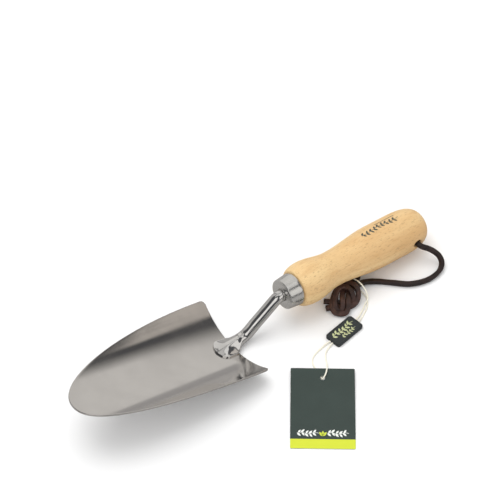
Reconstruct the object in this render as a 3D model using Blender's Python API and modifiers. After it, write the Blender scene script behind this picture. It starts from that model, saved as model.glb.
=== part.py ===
"""Hand trowel, lying on a table with its blade open side up.

Forged blade and swan neck, turned wooden handle in a metal ferrule, a leather
thong through the handle, and a swing tag on a string with a small plastic seal.

Frame: metres, +Z up, z = 0 is the table. +X runs from the tip of the blade to
the butt of the handle, and y = 0 is the trowel's plane of symmetry. The origin
is under the middle of the trowel's length.
"""

import math

import bmesh
import bpy
from mathutils import Matrix, Vector

MM = 0.001

# Clearance between pieces that touch on the real trowel.
GAP = 0.3 * MM

# Blade: a sheet pressed to a round trough and trimmed to its outline.
BLADE_LENGTH = 151.0 * MM
BLADE_WIDTH = 83.5 * MM
BLADE_THICKNESS = 1.6 * MM
BLADE_TROUGH_RADIUS = 70.8 * MM
BLADE_PITCH = math.radians(16.7)
BLADE_HEEL_CORNER = 4.0 * MM
BLADE_SIDE_POWER = 2.1
BLADE_NOSE_POWER = 2.25

# Ferrule: a tapered cup that holds the nose of the handle.
FERRULE_LENGTH = 12.0 * MM
FERRULE_FRONT_DIAMETER = 24.0 * MM
FERRULE_REAR_DIAMETER = 26.4 * MM
FERRULE_WALL = 1.0 * MM
FERRULE_EDGE = 1.2 * MM
FERRULE_OFFSET = 46.8 * MM
FERRULE_HEIGHT = 28.8 * MM

# Handle: stations are distances from the ferrule's front face.
HANDLE_END = 139.2 * MM
SHOULDER_STATION = 24.0 * MM
SHOULDER_DIAMETER = 34.4 * MM
WAIST_STATION = 49.0 * MM
WAIST_DIAMETER = 27.9 * MM
BELLY_STATION = 92.0 * MM
BELLY_DIAMETER = 35.0 * MM
DOME_STATION = 110.0 * MM
DOME_POWER = 3.2
BUTT_FLAT_DIAMETER = 11.0 * MM
HANDLE_LIP = 0.5 * MM

# Neck: one bar from the foot on the blade to the tang in the handle.
NECK_DIAMETER = 9.5 * MM
TANG_LENGTH = 62.0 * MM
TANG_TIP_DIAMETER = 6.6 * MM
BEND_BACK = 11.6 * MM
BEND_LIFT = 1.6 * MM
BEND_BEFORE_FERRULE = 5.6 * MM
BEND_BELOW_AXIS = 1.7 * MM
FOOT_LENGTH = 16.6 * MM
FOOT_WIDTH = 19.0 * MM
FOOT_HEIGHT = 5.6 * MM
FOOT_RIDGE_LENGTH = 8.0 * MM
FOOT_RIDGE_WIDTH = 4.2 * MM
FOOT_RIM = 1.3 * MM

# Pin that keeps the ferrule on the handle.
PIN_DIAMETER = 2.6 * MM
PIN_STATION = 7.0 * MM
PIN_DEPTH = 6.5 * MM
PIN_STAND_OUT = 0.25 * MM

# Leather thong and the cross hole that it runs through.
THONG_DIAMETER = 4.0 * MM
THONG_HOLE_DIAMETER = 6.4 * MM
THONG_HOLE_FROM_END = 16.5 * MM

# Knot in the thong, and the two cut ends that stand out of it.
KNOT_CENTRE = Vector((77.0, -17.4, 5.9)) * MM
KNOT_SIZE = Vector((25.0, 20.0, 11.4)) * MM
KNOT_ROUNDING = 4.6 * MM
KNOT_TAILS = (
    (Vector((72.0, -17.0, 6.0)) * MM, Vector((61.3, -8.3, 3.2)) * MM),
    (Vector((70.0, -21.0, 5.2)) * MM, Vector((58.6, -14.8, 2.6)) * MM),
)

# String, its seal and the swing tag.
STRING_DIAMETER = 1.2 * MM
SEAL_CENTRE = Vector((56.2, -40.3, 1.5)) * MM
SEAL_SIZE = Vector((28.0, 14.4, 3.0)) * MM
SEAL_CORNER = 2.2 * MM
SEAL_EDGE = 0.5 * MM
SEAL_HEADING = math.radians(8.1)
TAG_SIZE = Vector((48.4, 72.6, 0.6)) * MM
TAG_CORNER = 0.8 * MM
TAG_HOLE = Vector((14.9, -65.3, 0.0)) * MM
TAG_HOLE_DIAMETER = 4.2 * MM
TAG_HOLE_FROM_TOP = 8.8 * MM
TAG_HEADING = math.radians(-38.5)
TAG_TILT = math.radians(1.5)

# Routes of the free cords, through points in millimetres.
THONG_ROUTE = (
    (89.9, -8.4, 5.2), (94.6, -8.3, 4.5), (98.6, -4.8, 3.2), (101.8, 1.4, 2.4), (106.4, 9.4, 2.3),
    (115, 17.6, 2.3), (126, 22.3, 2.3), (135.5, 24.1, 3), (142.6, 23.6, 5.6), (145.8, 22.8, 9.6),
    (147.9, 20.9, 13.4), (148.3, 18.8, 16.3), (148.4, 14.5, 16.9), (148.4, -8, 16.9),
    (148.4, -16.6, 16.9), (149.9, -21, 16.3), (153.3, -23.6, 14.3), (157, -26.4, 10.9),
    (159.6, -30.8, 6.8), (157.7, -36, 3.6), (150.4, -39.8, 2.3), (138.6, -40.3, 2.3),
    (126, -35.4, 2.3), (116, -26.2, 2.3), (107.8, -18.4, 2.4), (99.8, -13.9, 3.6), (94, -13.2, 5),
    (89.9, -13.2, 5.4),
)
SEAL_LOOP_ROUTE = (
    (70.2, -36.9, 1.5), (75, -35.2, 1.2), (80.5, -32.3, 0.9), (86, -28.9, 1.2), (90.3, -26.6, 3.4),
    (91.6, -22.5, 7.2), (90.9, -18.3, 10.8), (90.7, -13.5, 11), (91, -9.4, 8.9), (90.9, -5.8, 6.9),
    (90.9, -4.5, 4.3), (91, -5, 2.1), (91.3, -7, 0.9), (91.7, -10, 0.65), (92, -14, 0.65),
    (92.1, -18.8, 0.65), (91.2, -24.2, 0.65), (88.2, -29.4, 0.65), (83.4, -33.4, 0.65),
    (77.6, -36.6, 0.8), (73.4, -38.6, 1.3), (70.6, -39.2, 1.5),
)
TAG_LOOP_ROUTE = (
    (42.1, -43.5, 1.5), (39.4, -44.2, 1.3), (34, -46.4, 1.2), (29.4, -50.4, 2), (26.4, -55.2, 3.1),
    (23.4, -60, 3.45), (19.9, -63.3, 3.5), (17.2, -65.2, 3.6), (15.2, -65.9, 2.9),
    (14.6, -65.6, 1.6), (14.8, -64.2, 0.75), (15.7, -60.2, 0.65), (16.8, -53.6, 0.65),
    (18.8, -48, 0.7), (23.2, -44.2, 0.8), (30.4, -42.2, 1), (37.6, -41.2, 1.3), (41.8, -41, 1.5),
)

# Distance between a tube's points, in diameters.
CORD_SPACING = 2.1
ROUND_STEPS = 32


def clear_scene():
    """Remove the objects of the start-up scene."""
    for obj in list(bpy.data.objects):
        bpy.data.objects.remove(obj, do_unlink=True)


def new_collection(name):
    """Return a new collection that is linked to the scene."""
    collection = bpy.data.collections.new(name)
    bpy.context.scene.collection.children.link(collection)
    return collection


def put_in(obj, collection):
    """Move an object into one collection."""
    for owner in list(obj.users_collection):
        owner.objects.unlink(obj)
    collection.objects.link(obj)


def finish(name, colour, roughness, metallic):
    """Return a plain material with its colour, roughness and metallic value."""
    material = bpy.data.materials.new(name)
    material.use_nodes = True
    shader = material.node_tree.nodes["Principled BSDF"]
    shader.inputs["Base Color"].default_value = (*colour, 1.0)
    shader.inputs["Roughness"].default_value = roughness
    shader.inputs["Metallic"].default_value = metallic
    return material


def add_part(obj, name, parts, material, parent=None):
    """Name a sub-part, give it its material and collection, and parent it."""
    obj.name = name
    obj.data.name = name
    obj.data.materials.clear()
    obj.data.materials.append(material)
    put_in(obj, parts)
    if parent is not None:
        obj.parent = parent
    return obj


def add_frame(name, location, pitch, parts):
    """Add an empty whose local X axis is pitched down towards the butt."""
    empty = bpy.data.objects.new(name, None)
    empty.location = location
    empty.rotation_euler = (0.0, pitch, 0.0)
    parts.objects.link(empty)
    bpy.context.view_layer.update()
    return empty


def mesh_object(name, mesh):
    """Wrap a mesh in an object that is linked to the scene."""
    obj = bpy.data.objects.new(name, mesh)
    bpy.context.scene.collection.objects.link(obj)
    return obj


def add_boolean(obj, cutter, operation, cutters):
    """Cut or join an object with a hidden helper object."""
    put_in(cutter, cutters)
    cutter.hide_render = True
    cutter.display_type = "WIRE"
    modifier = obj.modifiers.new(cutter.name, "BOOLEAN")
    modifier.operation = operation
    modifier.solver = "EXACT"
    modifier.object = cutter
    return modifier


def add_cylinder(name, radius, length, steps=ROUND_STEPS):
    """Add a closed cylinder along its own Z axis."""
    bpy.ops.mesh.primitive_cylinder_add(vertices=steps, radius=radius, depth=length)
    cylinder = bpy.context.object
    cylinder.name = name
    return cylinder


def smooth_shade(obj, angle=math.radians(35)):
    """Shade a mesh smooth, with its sharp edges kept."""
    obj.data.shade_smooth()
    obj.data.set_sharp_from_angle(angle=angle)


def curve_to_mesh(obj):
    """Replace a curve object with a closed mesh object in the same place."""
    bpy.context.view_layer.update()
    evaluated = obj.evaluated_get(bpy.context.evaluated_depsgraph_get())
    mesh = bpy.data.meshes.new_from_object(evaluated)
    shape = bmesh.new()
    shape.from_mesh(mesh)
    bmesh.ops.remove_doubles(shape, verts=shape.verts, dist=0.00001)
    bmesh.ops.recalc_face_normals(shape, faces=shape.faces)
    shape.to_mesh(mesh)
    shape.free()
    made = mesh_object(obj.name, mesh)
    made.matrix_world = obj.matrix_world.copy()
    bpy.data.objects.remove(obj, do_unlink=True)
    return made


def smooth_line(route, spacing):
    """Return evenly spaced points on a smooth curve through a route's points."""
    points = [Vector(point) for point in route]
    points.insert(0, 2 * points[0] - points[1])
    points.append(2 * points[-1] - points[-2])
    fine = []
    for before, start, end, after in zip(points, points[1:], points[2:], points[3:]):
        for step in range(24):
            t = step / 24
            fine.append(0.5 * (2 * start + (end - before) * t
                               + (2 * before - 5 * start + 4 * end - after) * t ** 2
                               + (3 * start - before - 3 * end + after) * t ** 3))
    fine.append(points[-2])
    lengths = [0.0]
    for start, end in zip(fine, fine[1:]):
        lengths.append(lengths[-1] + (end - start).length)
    count = max(2, round(lengths[-1] / spacing))
    line = []
    index = 0
    for number in range(count + 1):
        wanted = lengths[-1] * number / count
        while index < len(lengths) - 2 and lengths[index + 1] < wanted:
            index += 1
        share = (wanted - lengths[index]) / (lengths[index + 1] - lengths[index])
        line.append(fine[index].lerp(fine[index + 1], min(max(share, 0.0), 1.0)))
    return line


def add_tube(name, line, diameter, resolution, widths=None):
    """Add a closed tube along a line of points, with a width factor at each."""
    curve = bpy.data.curves.new(name, "CURVE")
    curve.dimensions = "3D"
    curve.bevel_depth = diameter / 2
    curve.bevel_resolution = resolution
    curve.use_fill_caps = True
    spline = curve.splines.new("POLY")
    spline.points.add(len(line) - 1)
    for index, point in enumerate(line):
        spline.points[index].co = (*point, 1.0)
        spline.points[index].radius = widths[index] if widths else 1.0
    tube = bpy.data.objects.new(name, curve)
    bpy.context.scene.collection.objects.link(tube)
    return tube


def add_turned(name, profile, steps=ROUND_STEPS):
    """Turn a profile of (radius, station) points about the local X axis.

    The profile runs from the rear of the piece, down its outer side and to its
    front, so the solid's faces point out.
    """
    mesh = bpy.data.meshes.new(name)
    points = [(radius, 0.0, station) for radius, station in profile]
    edges = [(index, index + 1) for index in range(len(points) - 1)]
    if profile[0][0] > 0.0:
        edges.append((len(points) - 1, 0))
    mesh.from_pydata(points, edges, [])
    turned = mesh_object(name, mesh)
    turned.rotation_euler = (0.0, math.pi / 2, 0.0)
    screw = turned.modifiers.new("turn", "SCREW")
    screw.axis = "Z"
    screw.steps = steps
    screw.render_steps = steps
    screw.use_merge_vertices = True
    screw.merge_threshold = 0.00005
    screw.use_smooth_shade = True
    return turned


def arc(centre, radius, start, end, steps):
    """Return points on an arc in a plane, with angles in degrees."""
    points = []
    for step in range(steps + 1):
        angle = math.radians(start + (end - start) * step / steps)
        points.append((centre[0] + radius * math.cos(angle), centre[1] + radius * math.sin(angle)))
    return points


def ease(start, end, share):
    """Return a value that leaves start and reaches end with no slope."""
    return start + (end - start) * (1 - math.cos(math.pi * share)) / 2


def neck_radius():
    """Return the radius of the neck's bar."""
    return NECK_DIAMETER / 2


def ferrule_radius(station):
    """Return the ferrule's outer radius at a distance from its front face."""
    share = station / FERRULE_LENGTH
    return (FERRULE_FRONT_DIAMETER + (FERRULE_REAR_DIAMETER - FERRULE_FRONT_DIAMETER) * share) / 2


def handle_radius(station):
    """Return the handle's outer radius behind the ferrule."""
    start = FERRULE_LENGTH + GAP
    lip = FERRULE_REAR_DIAMETER / 2 + HANDLE_LIP
    shoulder, waist, belly = (size / 2 for size in (SHOULDER_DIAMETER, WAIST_DIAMETER, BELLY_DIAMETER))
    if station < SHOULDER_STATION:
        share = (SHOULDER_STATION - station) / (SHOULDER_STATION - start)
        return lip + (shoulder - lip) * math.sqrt(max(0.0, 1 - share ** 2))
    if station < WAIST_STATION:
        return ease(shoulder, waist, (station - SHOULDER_STATION) / (WAIST_STATION - SHOULDER_STATION))
    if station < BELLY_STATION:
        return ease(waist, belly, (station - WAIST_STATION) / (BELLY_STATION - WAIST_STATION))
    if station < DOME_STATION:
        return belly
    dome = dome_length()
    return belly * max(0.0, 1 - ((station - DOME_STATION) / dome) ** DOME_POWER) ** (1 / DOME_POWER)


def dome_length():
    """Return the dome's length to its point, from its cut-off length and flat."""
    flat = (BUTT_FLAT_DIAMETER / BELLY_DIAMETER) ** DOME_POWER
    return (HANDLE_END - DOME_STATION) / (1 - flat) ** (1 / DOME_POWER)


def handle_stations():
    """Return the stations of the handle's outer profile, from lip to butt."""
    start = FERRULE_LENGTH + GAP
    shoulder = [start + (SHOULDER_STATION - start) * (1 - math.cos(math.pi / 2 * k / 5)) for k in range(6)]
    waist = [SHOULDER_STATION + (WAIST_STATION - SHOULDER_STATION) * k / 5 for k in range(1, 6)]
    belly = [WAIST_STATION + (BELLY_STATION - WAIST_STATION) * k / 6 for k in range(1, 7)]
    dome = [DOME_STATION + (HANDLE_END - DOME_STATION) * math.sin(math.pi / 2 * k / 8) for k in range(9)]
    return shoulder + waist + belly + dome


def handle_slope():
    """Return the slope that lays the handle's belly on the table."""
    slopes = []
    for station in handle_stations():
        if station > WAIST_STATION:
            radius = handle_radius(station)
            reach = math.hypot(station, radius)
            slopes.append(math.asin(FERRULE_HEIGHT / reach) - math.atan2(radius, station))
    return min(slopes)


def heel_x():
    """Return the heel's place, which centres the trowel's length on the origin."""
    slope = handle_slope()
    tip = BLADE_LENGTH * math.cos(BLADE_PITCH) + BLADE_THICKNESS * math.sin(BLADE_PITCH)
    butt = HANDLE_END * math.cos(slope) + BUTT_FLAT_DIAMETER / 2 * math.sin(slope)
    return (tip - FERRULE_OFFSET - butt) / 2


def heel_point():
    """Return the middle of the heel on the blade's upper face."""
    return Vector((heel_x(), 0.0, BLADE_THICKNESS * math.cos(BLADE_PITCH)))


def ferrule_point():
    """Return the centre of the ferrule's front face."""
    return Vector((heel_x() + FERRULE_OFFSET, 0.0, FERRULE_HEIGHT))


def blade_point(forward, side, up):
    """Return a point given along, across and above the blade's heel."""
    turn = Matrix.Rotation(BLADE_PITCH, 4, "Y")
    return heel_point() + turn @ Vector((-forward, side, up))


def handle_point(station):
    """Return a point on the handle's axis."""
    turn = Matrix.Rotation(handle_slope(), 4, "Y")
    return ferrule_point() + turn @ Vector((station, 0.0, 0.0))


def trough_height(side):
    """Return the height of the blade's upper face above its middle line."""
    return BLADE_TROUGH_RADIUS - math.sqrt(BLADE_TROUGH_RADIUS ** 2 - side ** 2)


def blade_half_width(forward):
    """Return half the blade's width at a distance from the heel."""
    share = min(1.0, forward / BLADE_LENGTH)
    return BLADE_WIDTH / 2 * (1 - share ** BLADE_SIDE_POWER) ** (1 / BLADE_NOSE_POWER)


def blade_outline():
    """Return the blade's flat outline, counter-clockwise seen from above."""
    half = BLADE_WIDTH / 2
    corner = BLADE_HEEL_CORNER
    near = arc((-corner, -half + corner), corner, 0, -90, 6)
    for step in range(1, 26):
        forward = corner + (BLADE_LENGTH - corner) * math.sin(math.pi / 2 * step / 26)
        near.append((-forward, -blade_half_width(forward)))
    far = [(x, -y) for x, y in reversed(near)]
    return [(0.0, 0.0)] + near + [(-BLADE_LENGTH, 0.0)] + far


def add_prism(name, outline, height):
    """Add a closed prism with a flat outline, centred on its own z = 0."""
    curve = bpy.data.curves.new(name, "CURVE")
    curve.dimensions = "2D"
    curve.fill_mode = "BOTH"
    curve.extrude = height / 2
    spline = curve.splines.new("POLY")
    spline.points.add(len(outline) - 1)
    for index, (x, y) in enumerate(outline):
        spline.points[index].co = (x, y, 0.0, 1.0)
    spline.use_cyclic_u = True
    flat = bpy.data.objects.new(name, curve)
    bpy.context.scene.collection.objects.link(flat)
    return curve_to_mesh(flat)


def add_blade(parts, cutters, frame, steel):
    """Make the blade: a curved sheet, trimmed to the outline."""
    margin = 4 * MM
    length = BLADE_LENGTH + 2 * margin
    width = BLADE_WIDTH + 2 * margin
    bpy.ops.mesh.primitive_grid_add(x_subdivisions=1, y_subdivisions=30, size=1)
    sheet = bpy.context.object
    for vertex in sheet.data.vertices:
        side = vertex.co.y * width
        vertex.co = (vertex.co.x * length - BLADE_LENGTH / 2, side, trough_height(side))
    solid = sheet.modifiers.new("thickness", "SOLIDIFY")
    solid.thickness = BLADE_THICKNESS
    solid.offset = -1.0
    solid.use_even_offset = True
    outline = add_prism("blade_outline", blade_outline(), 80 * MM)
    outline.parent = frame
    add_boolean(sheet, outline, "INTERSECT", cutters)
    smooth_shade(sheet)
    return add_part(sheet, "blade", parts, steel, frame)


def neck_line():
    """Return the neck's centre line and its width factor, foot to tang."""
    radius = neck_radius()
    heel = heel_point()
    bend_low = heel + Vector((BEND_BACK, 0.0, BEND_LIFT + radius - heel.z))
    bend_high = handle_point(-BEND_BEFORE_FERRULE) - Vector((0.0, 0.0, BEND_BELOW_AXIS))
    route = [
        blade_point(0.0, 0.0, radius * 0.85),
        bend_low,
        bend_low.lerp(bend_high, 0.33),
        bend_low.lerp(bend_high, 0.67),
        bend_high,
        handle_point(-0.8 * MM),
        handle_point(4 * MM),
    ]
    line = smooth_line(route, 2.2 * MM)
    widths = [1.0] * len(line)
    widths[0] = 0.85
    tip = TANG_TIP_DIAMETER / NECK_DIAMETER
    for share in (0.04, 0.5, 1.0):
        line.append(handle_point(4 * MM + (TANG_LENGTH - 4 * MM) * share))
        widths.append(tang_width(share) if share < 1.0 else tip)
    return line, widths


def tang_width(share):
    """Return the tang's width factor between its shoulder and its tip."""
    shoulder = 0.92
    return shoulder + (TANG_TIP_DIAMETER / NECK_DIAMETER - shoulder) * share


def foot_outline():
    """Return the foot's base outline as (forward, side) points, like a hoof."""
    half = FOOT_WIDTH / 2
    straight = FOOT_LENGTH - half * 0.72
    nose = [(straight + (FOOT_LENGTH - straight) * math.cos(angle), half * math.sin(angle))
            for angle in (math.radians(-90 + 18 * k) for k in range(11))]
    return [(0.0, half - 0.6 * MM), (0.0, -half + 0.6 * MM)] + nose


def add_foot():
    """Make the foot: the hull of a hoof-shaped rim, a ridge and the bar."""
    shape = bmesh.new()
    for forward, side in foot_outline():
        base = trough_height(side)
        shape.verts.new(blade_point(forward, side, base - 1 * MM))
        shape.verts.new(blade_point(forward, side, base + FOOT_RIM))
    for side in (-FOOT_RIDGE_WIDTH / 2, FOOT_RIDGE_WIDTH / 2):
        shape.verts.new(blade_point(FOOT_RIDGE_LENGTH, side, FOOT_HEIGHT))
    radius = neck_radius()
    centre = blade_point(-5.0 * MM, 0.0, radius + 0.6 * MM)
    for step in range(16):
        angle = 2 * math.pi * step / 16
        shape.verts.new(centre + Vector((0.0, radius * math.sin(angle), radius * math.cos(angle))))
    hull = bmesh.ops.convex_hull(shape, input=shape.verts)
    inner = hull["geom_interior"] + hull["geom_unused"]
    spare = {item for item in inner if isinstance(item, bmesh.types.BMVert)}
    bmesh.ops.delete(shape, geom=list(spare), context="VERTS")
    bmesh.ops.recalc_face_normals(shape, faces=shape.faces)
    mesh = bpy.data.meshes.new("neck_foot")
    shape.to_mesh(mesh)
    shape.free()
    return mesh_object("neck_foot", mesh)


def add_neck(parts, cutters, steel):
    """Make the neck: bar, foot and tang as one forging on the blade's face."""
    line, widths = neck_line()
    neck = curve_to_mesh(add_tube("neck", line, NECK_DIAMETER, 4, widths))
    add_boolean(neck, add_foot(), "UNION", cutters)
    seat = add_cylinder("neck_seat", BLADE_TROUGH_RADIUS - GAP, 400 * MM, 192)
    seat.rotation_euler = (0.0, math.pi / 2 + BLADE_PITCH, 0.0)
    seat.location = blade_point(0.0, 0.0, BLADE_TROUGH_RADIUS)
    add_boolean(neck, seat, "INTERSECT", cutters)
    smooth_shade(neck)
    return add_part(neck, "neck", parts, steel)


def add_ferrule(parts, cutters, frame, steel):
    """Make the ferrule: a tapered cup with a hole for the neck."""
    hole = neck_radius() + GAP
    front = ferrule_radius(0.0)
    edge = FERRULE_EDGE
    profile = [(ferrule_radius(FERRULE_LENGTH), FERRULE_LENGTH)]
    profile += arc((front - edge + 0.1 * MM, edge), edge, 0, -90, 4)
    profile += [(hole, 0.0), (hole, FERRULE_WALL)]
    profile += [(front - FERRULE_WALL, FERRULE_WALL)]
    profile += [(ferrule_radius(FERRULE_LENGTH) - FERRULE_WALL, FERRULE_LENGTH)]
    ferrule = add_turned("ferrule", profile)
    add_boolean(ferrule, pin_hole("ferrule_pin_hole", frame), "DIFFERENCE", cutters)
    return add_part(ferrule, "ferrule", parts, steel, frame)


def pin_hole(name, frame):
    """Return a cutter for the pin, on the trowel's near side."""
    radius = PIN_DIAMETER / 2 + GAP
    outer = ferrule_radius(PIN_STATION) + 3 * MM
    inner = ferrule_radius(PIN_STATION) - PIN_DEPTH - GAP
    cutter = add_cylinder(name, radius, outer - inner, 16)
    cutter.rotation_euler = (math.pi / 2, 0.0, 0.0)
    cutter.location = (PIN_STATION, -(outer + inner) / 2, 0.0)
    cutter.parent = frame
    return cutter


def add_pin(parts, frame, steel):
    """Make the pin that holds the ferrule on the handle's nose."""
    outer = ferrule_radius(PIN_STATION) + PIN_STAND_OUT
    inner = ferrule_radius(PIN_STATION) - PIN_DEPTH
    pin = add_cylinder("ferrule_pin", PIN_DIAMETER / 2, outer - inner, 16)
    pin.rotation_euler = (math.pi / 2, 0.0, 0.0)
    pin.location = (PIN_STATION, -(outer + inner) / 2, 0.0)
    smooth_shade(pin)
    return add_part(pin, "ferrule_pin", parts, steel, frame)


def handle_profile():
    """Return the handle's profile, from the butt to the bottom of its bore."""
    outer = [(handle_radius(station), station) for station in reversed(handle_stations())]
    inside = FERRULE_WALL + GAP
    nose_rear = ferrule_radius(FERRULE_LENGTH) - inside
    nose_front = ferrule_radius(0.0) - inside
    bore = neck_radius() + GAP
    bore_tip = TANG_TIP_DIAMETER / 2 + 2 * GAP
    profile = [(0.0, HANDLE_END)] + outer
    profile += [(nose_rear, FERRULE_LENGTH + GAP), (nose_front, inside), (bore, inside)]
    profile += [(bore, 6 * MM), (bore_tip, TANG_LENGTH + GAP), (0.0, TANG_LENGTH + GAP)]
    return profile


def add_handle(parts, cutters, frame, wood):
    """Make the handle: turned wood with a tang bore and two cross holes."""
    handle = add_turned("handle", handle_profile(), 40)
    hole = add_cylinder("thong_hole", THONG_HOLE_DIAMETER / 2, 60 * MM, 20)
    hole.rotation_euler = (math.pi / 2, 0.0, 0.0)
    hole.location = (HANDLE_END - THONG_HOLE_FROM_END, 0.0, 0.0)
    hole.parent = frame
    add_boolean(handle, hole, "DIFFERENCE", cutters)
    add_boolean(handle, pin_hole("handle_pin_hole", frame), "DIFFERENCE", cutters)
    return add_part(handle, "handle", parts, wood, frame)


def metres(route):
    """Return a route's points in metres."""
    return [Vector(point) * MM for point in route]


def add_cord(name, route, diameter, parts, material):
    """Make a free cord as a tube along a smooth line through its route."""
    line = smooth_line(metres(route), CORD_SPACING * diameter)
    return add_part(add_tube(name, line, diameter, 2), name, parts, material)


def add_knot(parts, cutters, leather):
    """Make the knot: a rounded block with the thong's two cut ends."""
    bpy.ops.mesh.primitive_cube_add(size=1)
    knot = bpy.context.object
    for vertex in knot.data.vertices:
        vertex.co = Vector([vertex.co[axis] * KNOT_SIZE[axis] for axis in range(3)])
    knot.location = KNOT_CENTRE
    rounding = knot.modifiers.new("rounding", "BEVEL")
    rounding.width = KNOT_ROUNDING
    rounding.segments = 4
    rounding.limit_method = "NONE"
    for index, ends in enumerate(KNOT_TAILS):
        tail = curve_to_mesh(add_tube(f"knot_tail_{index}", ends, THONG_DIAMETER, 2))
        add_boolean(knot, tail, "UNION", cutters)
    smooth_shade(knot)
    return add_part(knot, "thong_knot", parts, leather)


def rounded_rectangle(width, height, corner):
    """Return the outline of a rectangle with round corners, centred on zero."""
    outline = []
    for x, y, start in ((1, 1, 0), (-1, 1, 90), (-1, -1, 180), (1, -1, 270)):
        centre = (x * (width / 2 - corner), y * (height / 2 - corner))
        outline += arc(centre, corner, start, start + 90, 4)
    return outline


def add_seal(parts, plastic):
    """Make the seal: a small plate that clamps the ends of both string loops."""
    seal = add_prism("string_seal", rounded_rectangle(SEAL_SIZE.x, SEAL_SIZE.y, SEAL_CORNER), SEAL_SIZE.z)
    seal.location = SEAL_CENTRE
    seal.rotation_euler = (0.0, 0.0, SEAL_HEADING)
    edge = seal.modifiers.new("edge", "BEVEL")
    edge.width = SEAL_EDGE
    edge.segments = 2
    edge.limit_method = "ANGLE"
    edge.angle_limit = math.radians(60)
    smooth_shade(seal)
    return add_part(seal, "string_seal", parts, plastic)


def add_swing_tag(parts, cutters, card):
    """Make the tag, with its origin in the punched hole that it swivels about.

    Its lower edge rests on the table, and its upper edge on the string.
    """
    width, height, thickness = TAG_SIZE
    tag = add_prism("swing_tag", rounded_rectangle(width, height, TAG_CORNER), thickness)
    tag.data.transform(Matrix.Translation((0.0, TAG_HOLE_FROM_TOP - height / 2, 0.0)))
    lever = height - TAG_HOLE_FROM_TOP
    rise = lever * math.sin(TAG_TILT) + thickness / 2 * math.cos(TAG_TILT)
    tag.location = TAG_HOLE + Vector((0.0, 0.0, rise))
    tag.rotation_euler = (TAG_TILT, 0.0, TAG_HEADING)
    punch = add_cylinder("tag_punch", TAG_HOLE_DIAMETER / 2, 6 * MM, 20)
    punch.location = tag.location
    punch.rotation_euler = tag.rotation_euler
    add_boolean(tag, punch, "DIFFERENCE", cutters)
    return add_part(tag, "swing_tag", parts, card)


def main():
    """Build the trowel with everything that is tied to it."""
    clear_scene()
    parts = new_collection("hand_trowel")
    cutters = new_collection("cutters")
    satin_steel = finish("satin_steel", (0.62, 0.60, 0.58), 0.24, 1.0)
    polished_steel = finish("polished_steel", (0.74, 0.73, 0.72), 0.08, 1.0)
    ferrule_steel = finish("ferrule_steel", (0.72, 0.70, 0.69), 0.12, 1.0)
    pin_steel = finish("pin_steel", (0.55, 0.53, 0.51), 0.3, 1.0)
    beech = finish("beech", (0.79, 0.58, 0.34), 0.45, 0.0)
    leather = finish("dark_leather", (0.045, 0.028, 0.024), 0.55, 0.0)
    knot_leather = finish("knot_leather", (0.055, 0.030, 0.026), 0.6, 0.0)
    cotton = finish("cream_cotton", (0.86, 0.82, 0.72), 0.9, 0.0)
    tag_cotton = finish("tag_cotton", (0.86, 0.82, 0.72), 0.9, 0.0)
    black_plastic = finish("black_plastic", (0.03, 0.035, 0.035), 0.4, 0.0)
    green_card = finish("green_card", (0.055, 0.085, 0.078), 0.6, 0.0)

    blade_frame = add_frame("blade_frame", heel_point(), BLADE_PITCH, parts)
    handle_frame = add_frame("handle_frame", ferrule_point(), handle_slope(), parts)
    add_blade(parts, cutters, blade_frame, satin_steel)
    add_neck(parts, cutters, polished_steel)
    add_ferrule(parts, cutters, handle_frame, ferrule_steel)
    add_pin(parts, handle_frame, pin_steel)
    add_handle(parts, cutters, handle_frame, beech)
    add_cord("thong", THONG_ROUTE, THONG_DIAMETER, parts, leather)
    add_knot(parts, cutters, knot_leather)
    add_cord("seal_loop", SEAL_LOOP_ROUTE, STRING_DIAMETER, parts, cotton)
    add_seal(parts, black_plastic)
    add_cord("tag_loop", TAG_LOOP_ROUTE, STRING_DIAMETER, parts, tag_cotton)
    add_swing_tag(parts, cutters, green_card)


main()
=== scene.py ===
"""Looks of the hand trowel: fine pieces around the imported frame, then floor, lights and camera.

Frame: metres, +Z up, z = 0 is the table, +X runs from the blade's tip to the handle's butt.
"""

import logging
import math
from collections.abc import Callable, Iterable, Sequence
from dataclasses import dataclass, field
from enum import Enum

import bmesh
import bpy
from mathutils import Matrix, Vector

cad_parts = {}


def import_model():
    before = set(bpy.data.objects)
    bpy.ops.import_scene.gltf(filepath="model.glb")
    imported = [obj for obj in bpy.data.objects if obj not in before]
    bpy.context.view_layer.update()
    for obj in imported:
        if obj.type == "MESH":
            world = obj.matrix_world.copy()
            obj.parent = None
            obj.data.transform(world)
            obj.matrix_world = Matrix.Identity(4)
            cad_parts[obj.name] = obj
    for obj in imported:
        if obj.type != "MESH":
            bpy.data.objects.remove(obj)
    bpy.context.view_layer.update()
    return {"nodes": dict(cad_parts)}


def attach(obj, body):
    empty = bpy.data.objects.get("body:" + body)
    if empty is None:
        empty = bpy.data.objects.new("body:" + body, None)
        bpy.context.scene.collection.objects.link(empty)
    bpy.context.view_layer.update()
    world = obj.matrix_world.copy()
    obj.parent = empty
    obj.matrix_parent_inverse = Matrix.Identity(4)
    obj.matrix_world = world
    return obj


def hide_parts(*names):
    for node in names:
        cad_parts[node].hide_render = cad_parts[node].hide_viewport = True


MM = 0.001
TURN = 2 * math.pi
SHARP_ANGLE = 35.0
WELD_DISTANCE = 1e-7
SENSOR_WIDTH = 36.0
TABLE_HALF = 3.0
# Height of the filter sheet that paints shade onto the table in reflections.
TABLE_SHADE_HEIGHT = 0.02 * MM
FADE_WIDTH = 3.2
FADE_SHARES = (0.8, 0.6, 0.42, 0.27)
PANEL_DISTANCE = 1.2

Colour = tuple[float, float, float]
Loop = Sequence[Vector]

log = logging.getLogger("hand_trowel")


class Body(Enum):
    """Rigid bodies that a piece can ride on."""

    TROWEL = "trowel"
    TAG = "tag"


class Side(Enum):
    """Material index of a face of a cut lace."""

    GRAIN = 0
    CUT = 1


# Shapes ---------------------------------------------------------------------------------


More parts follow.
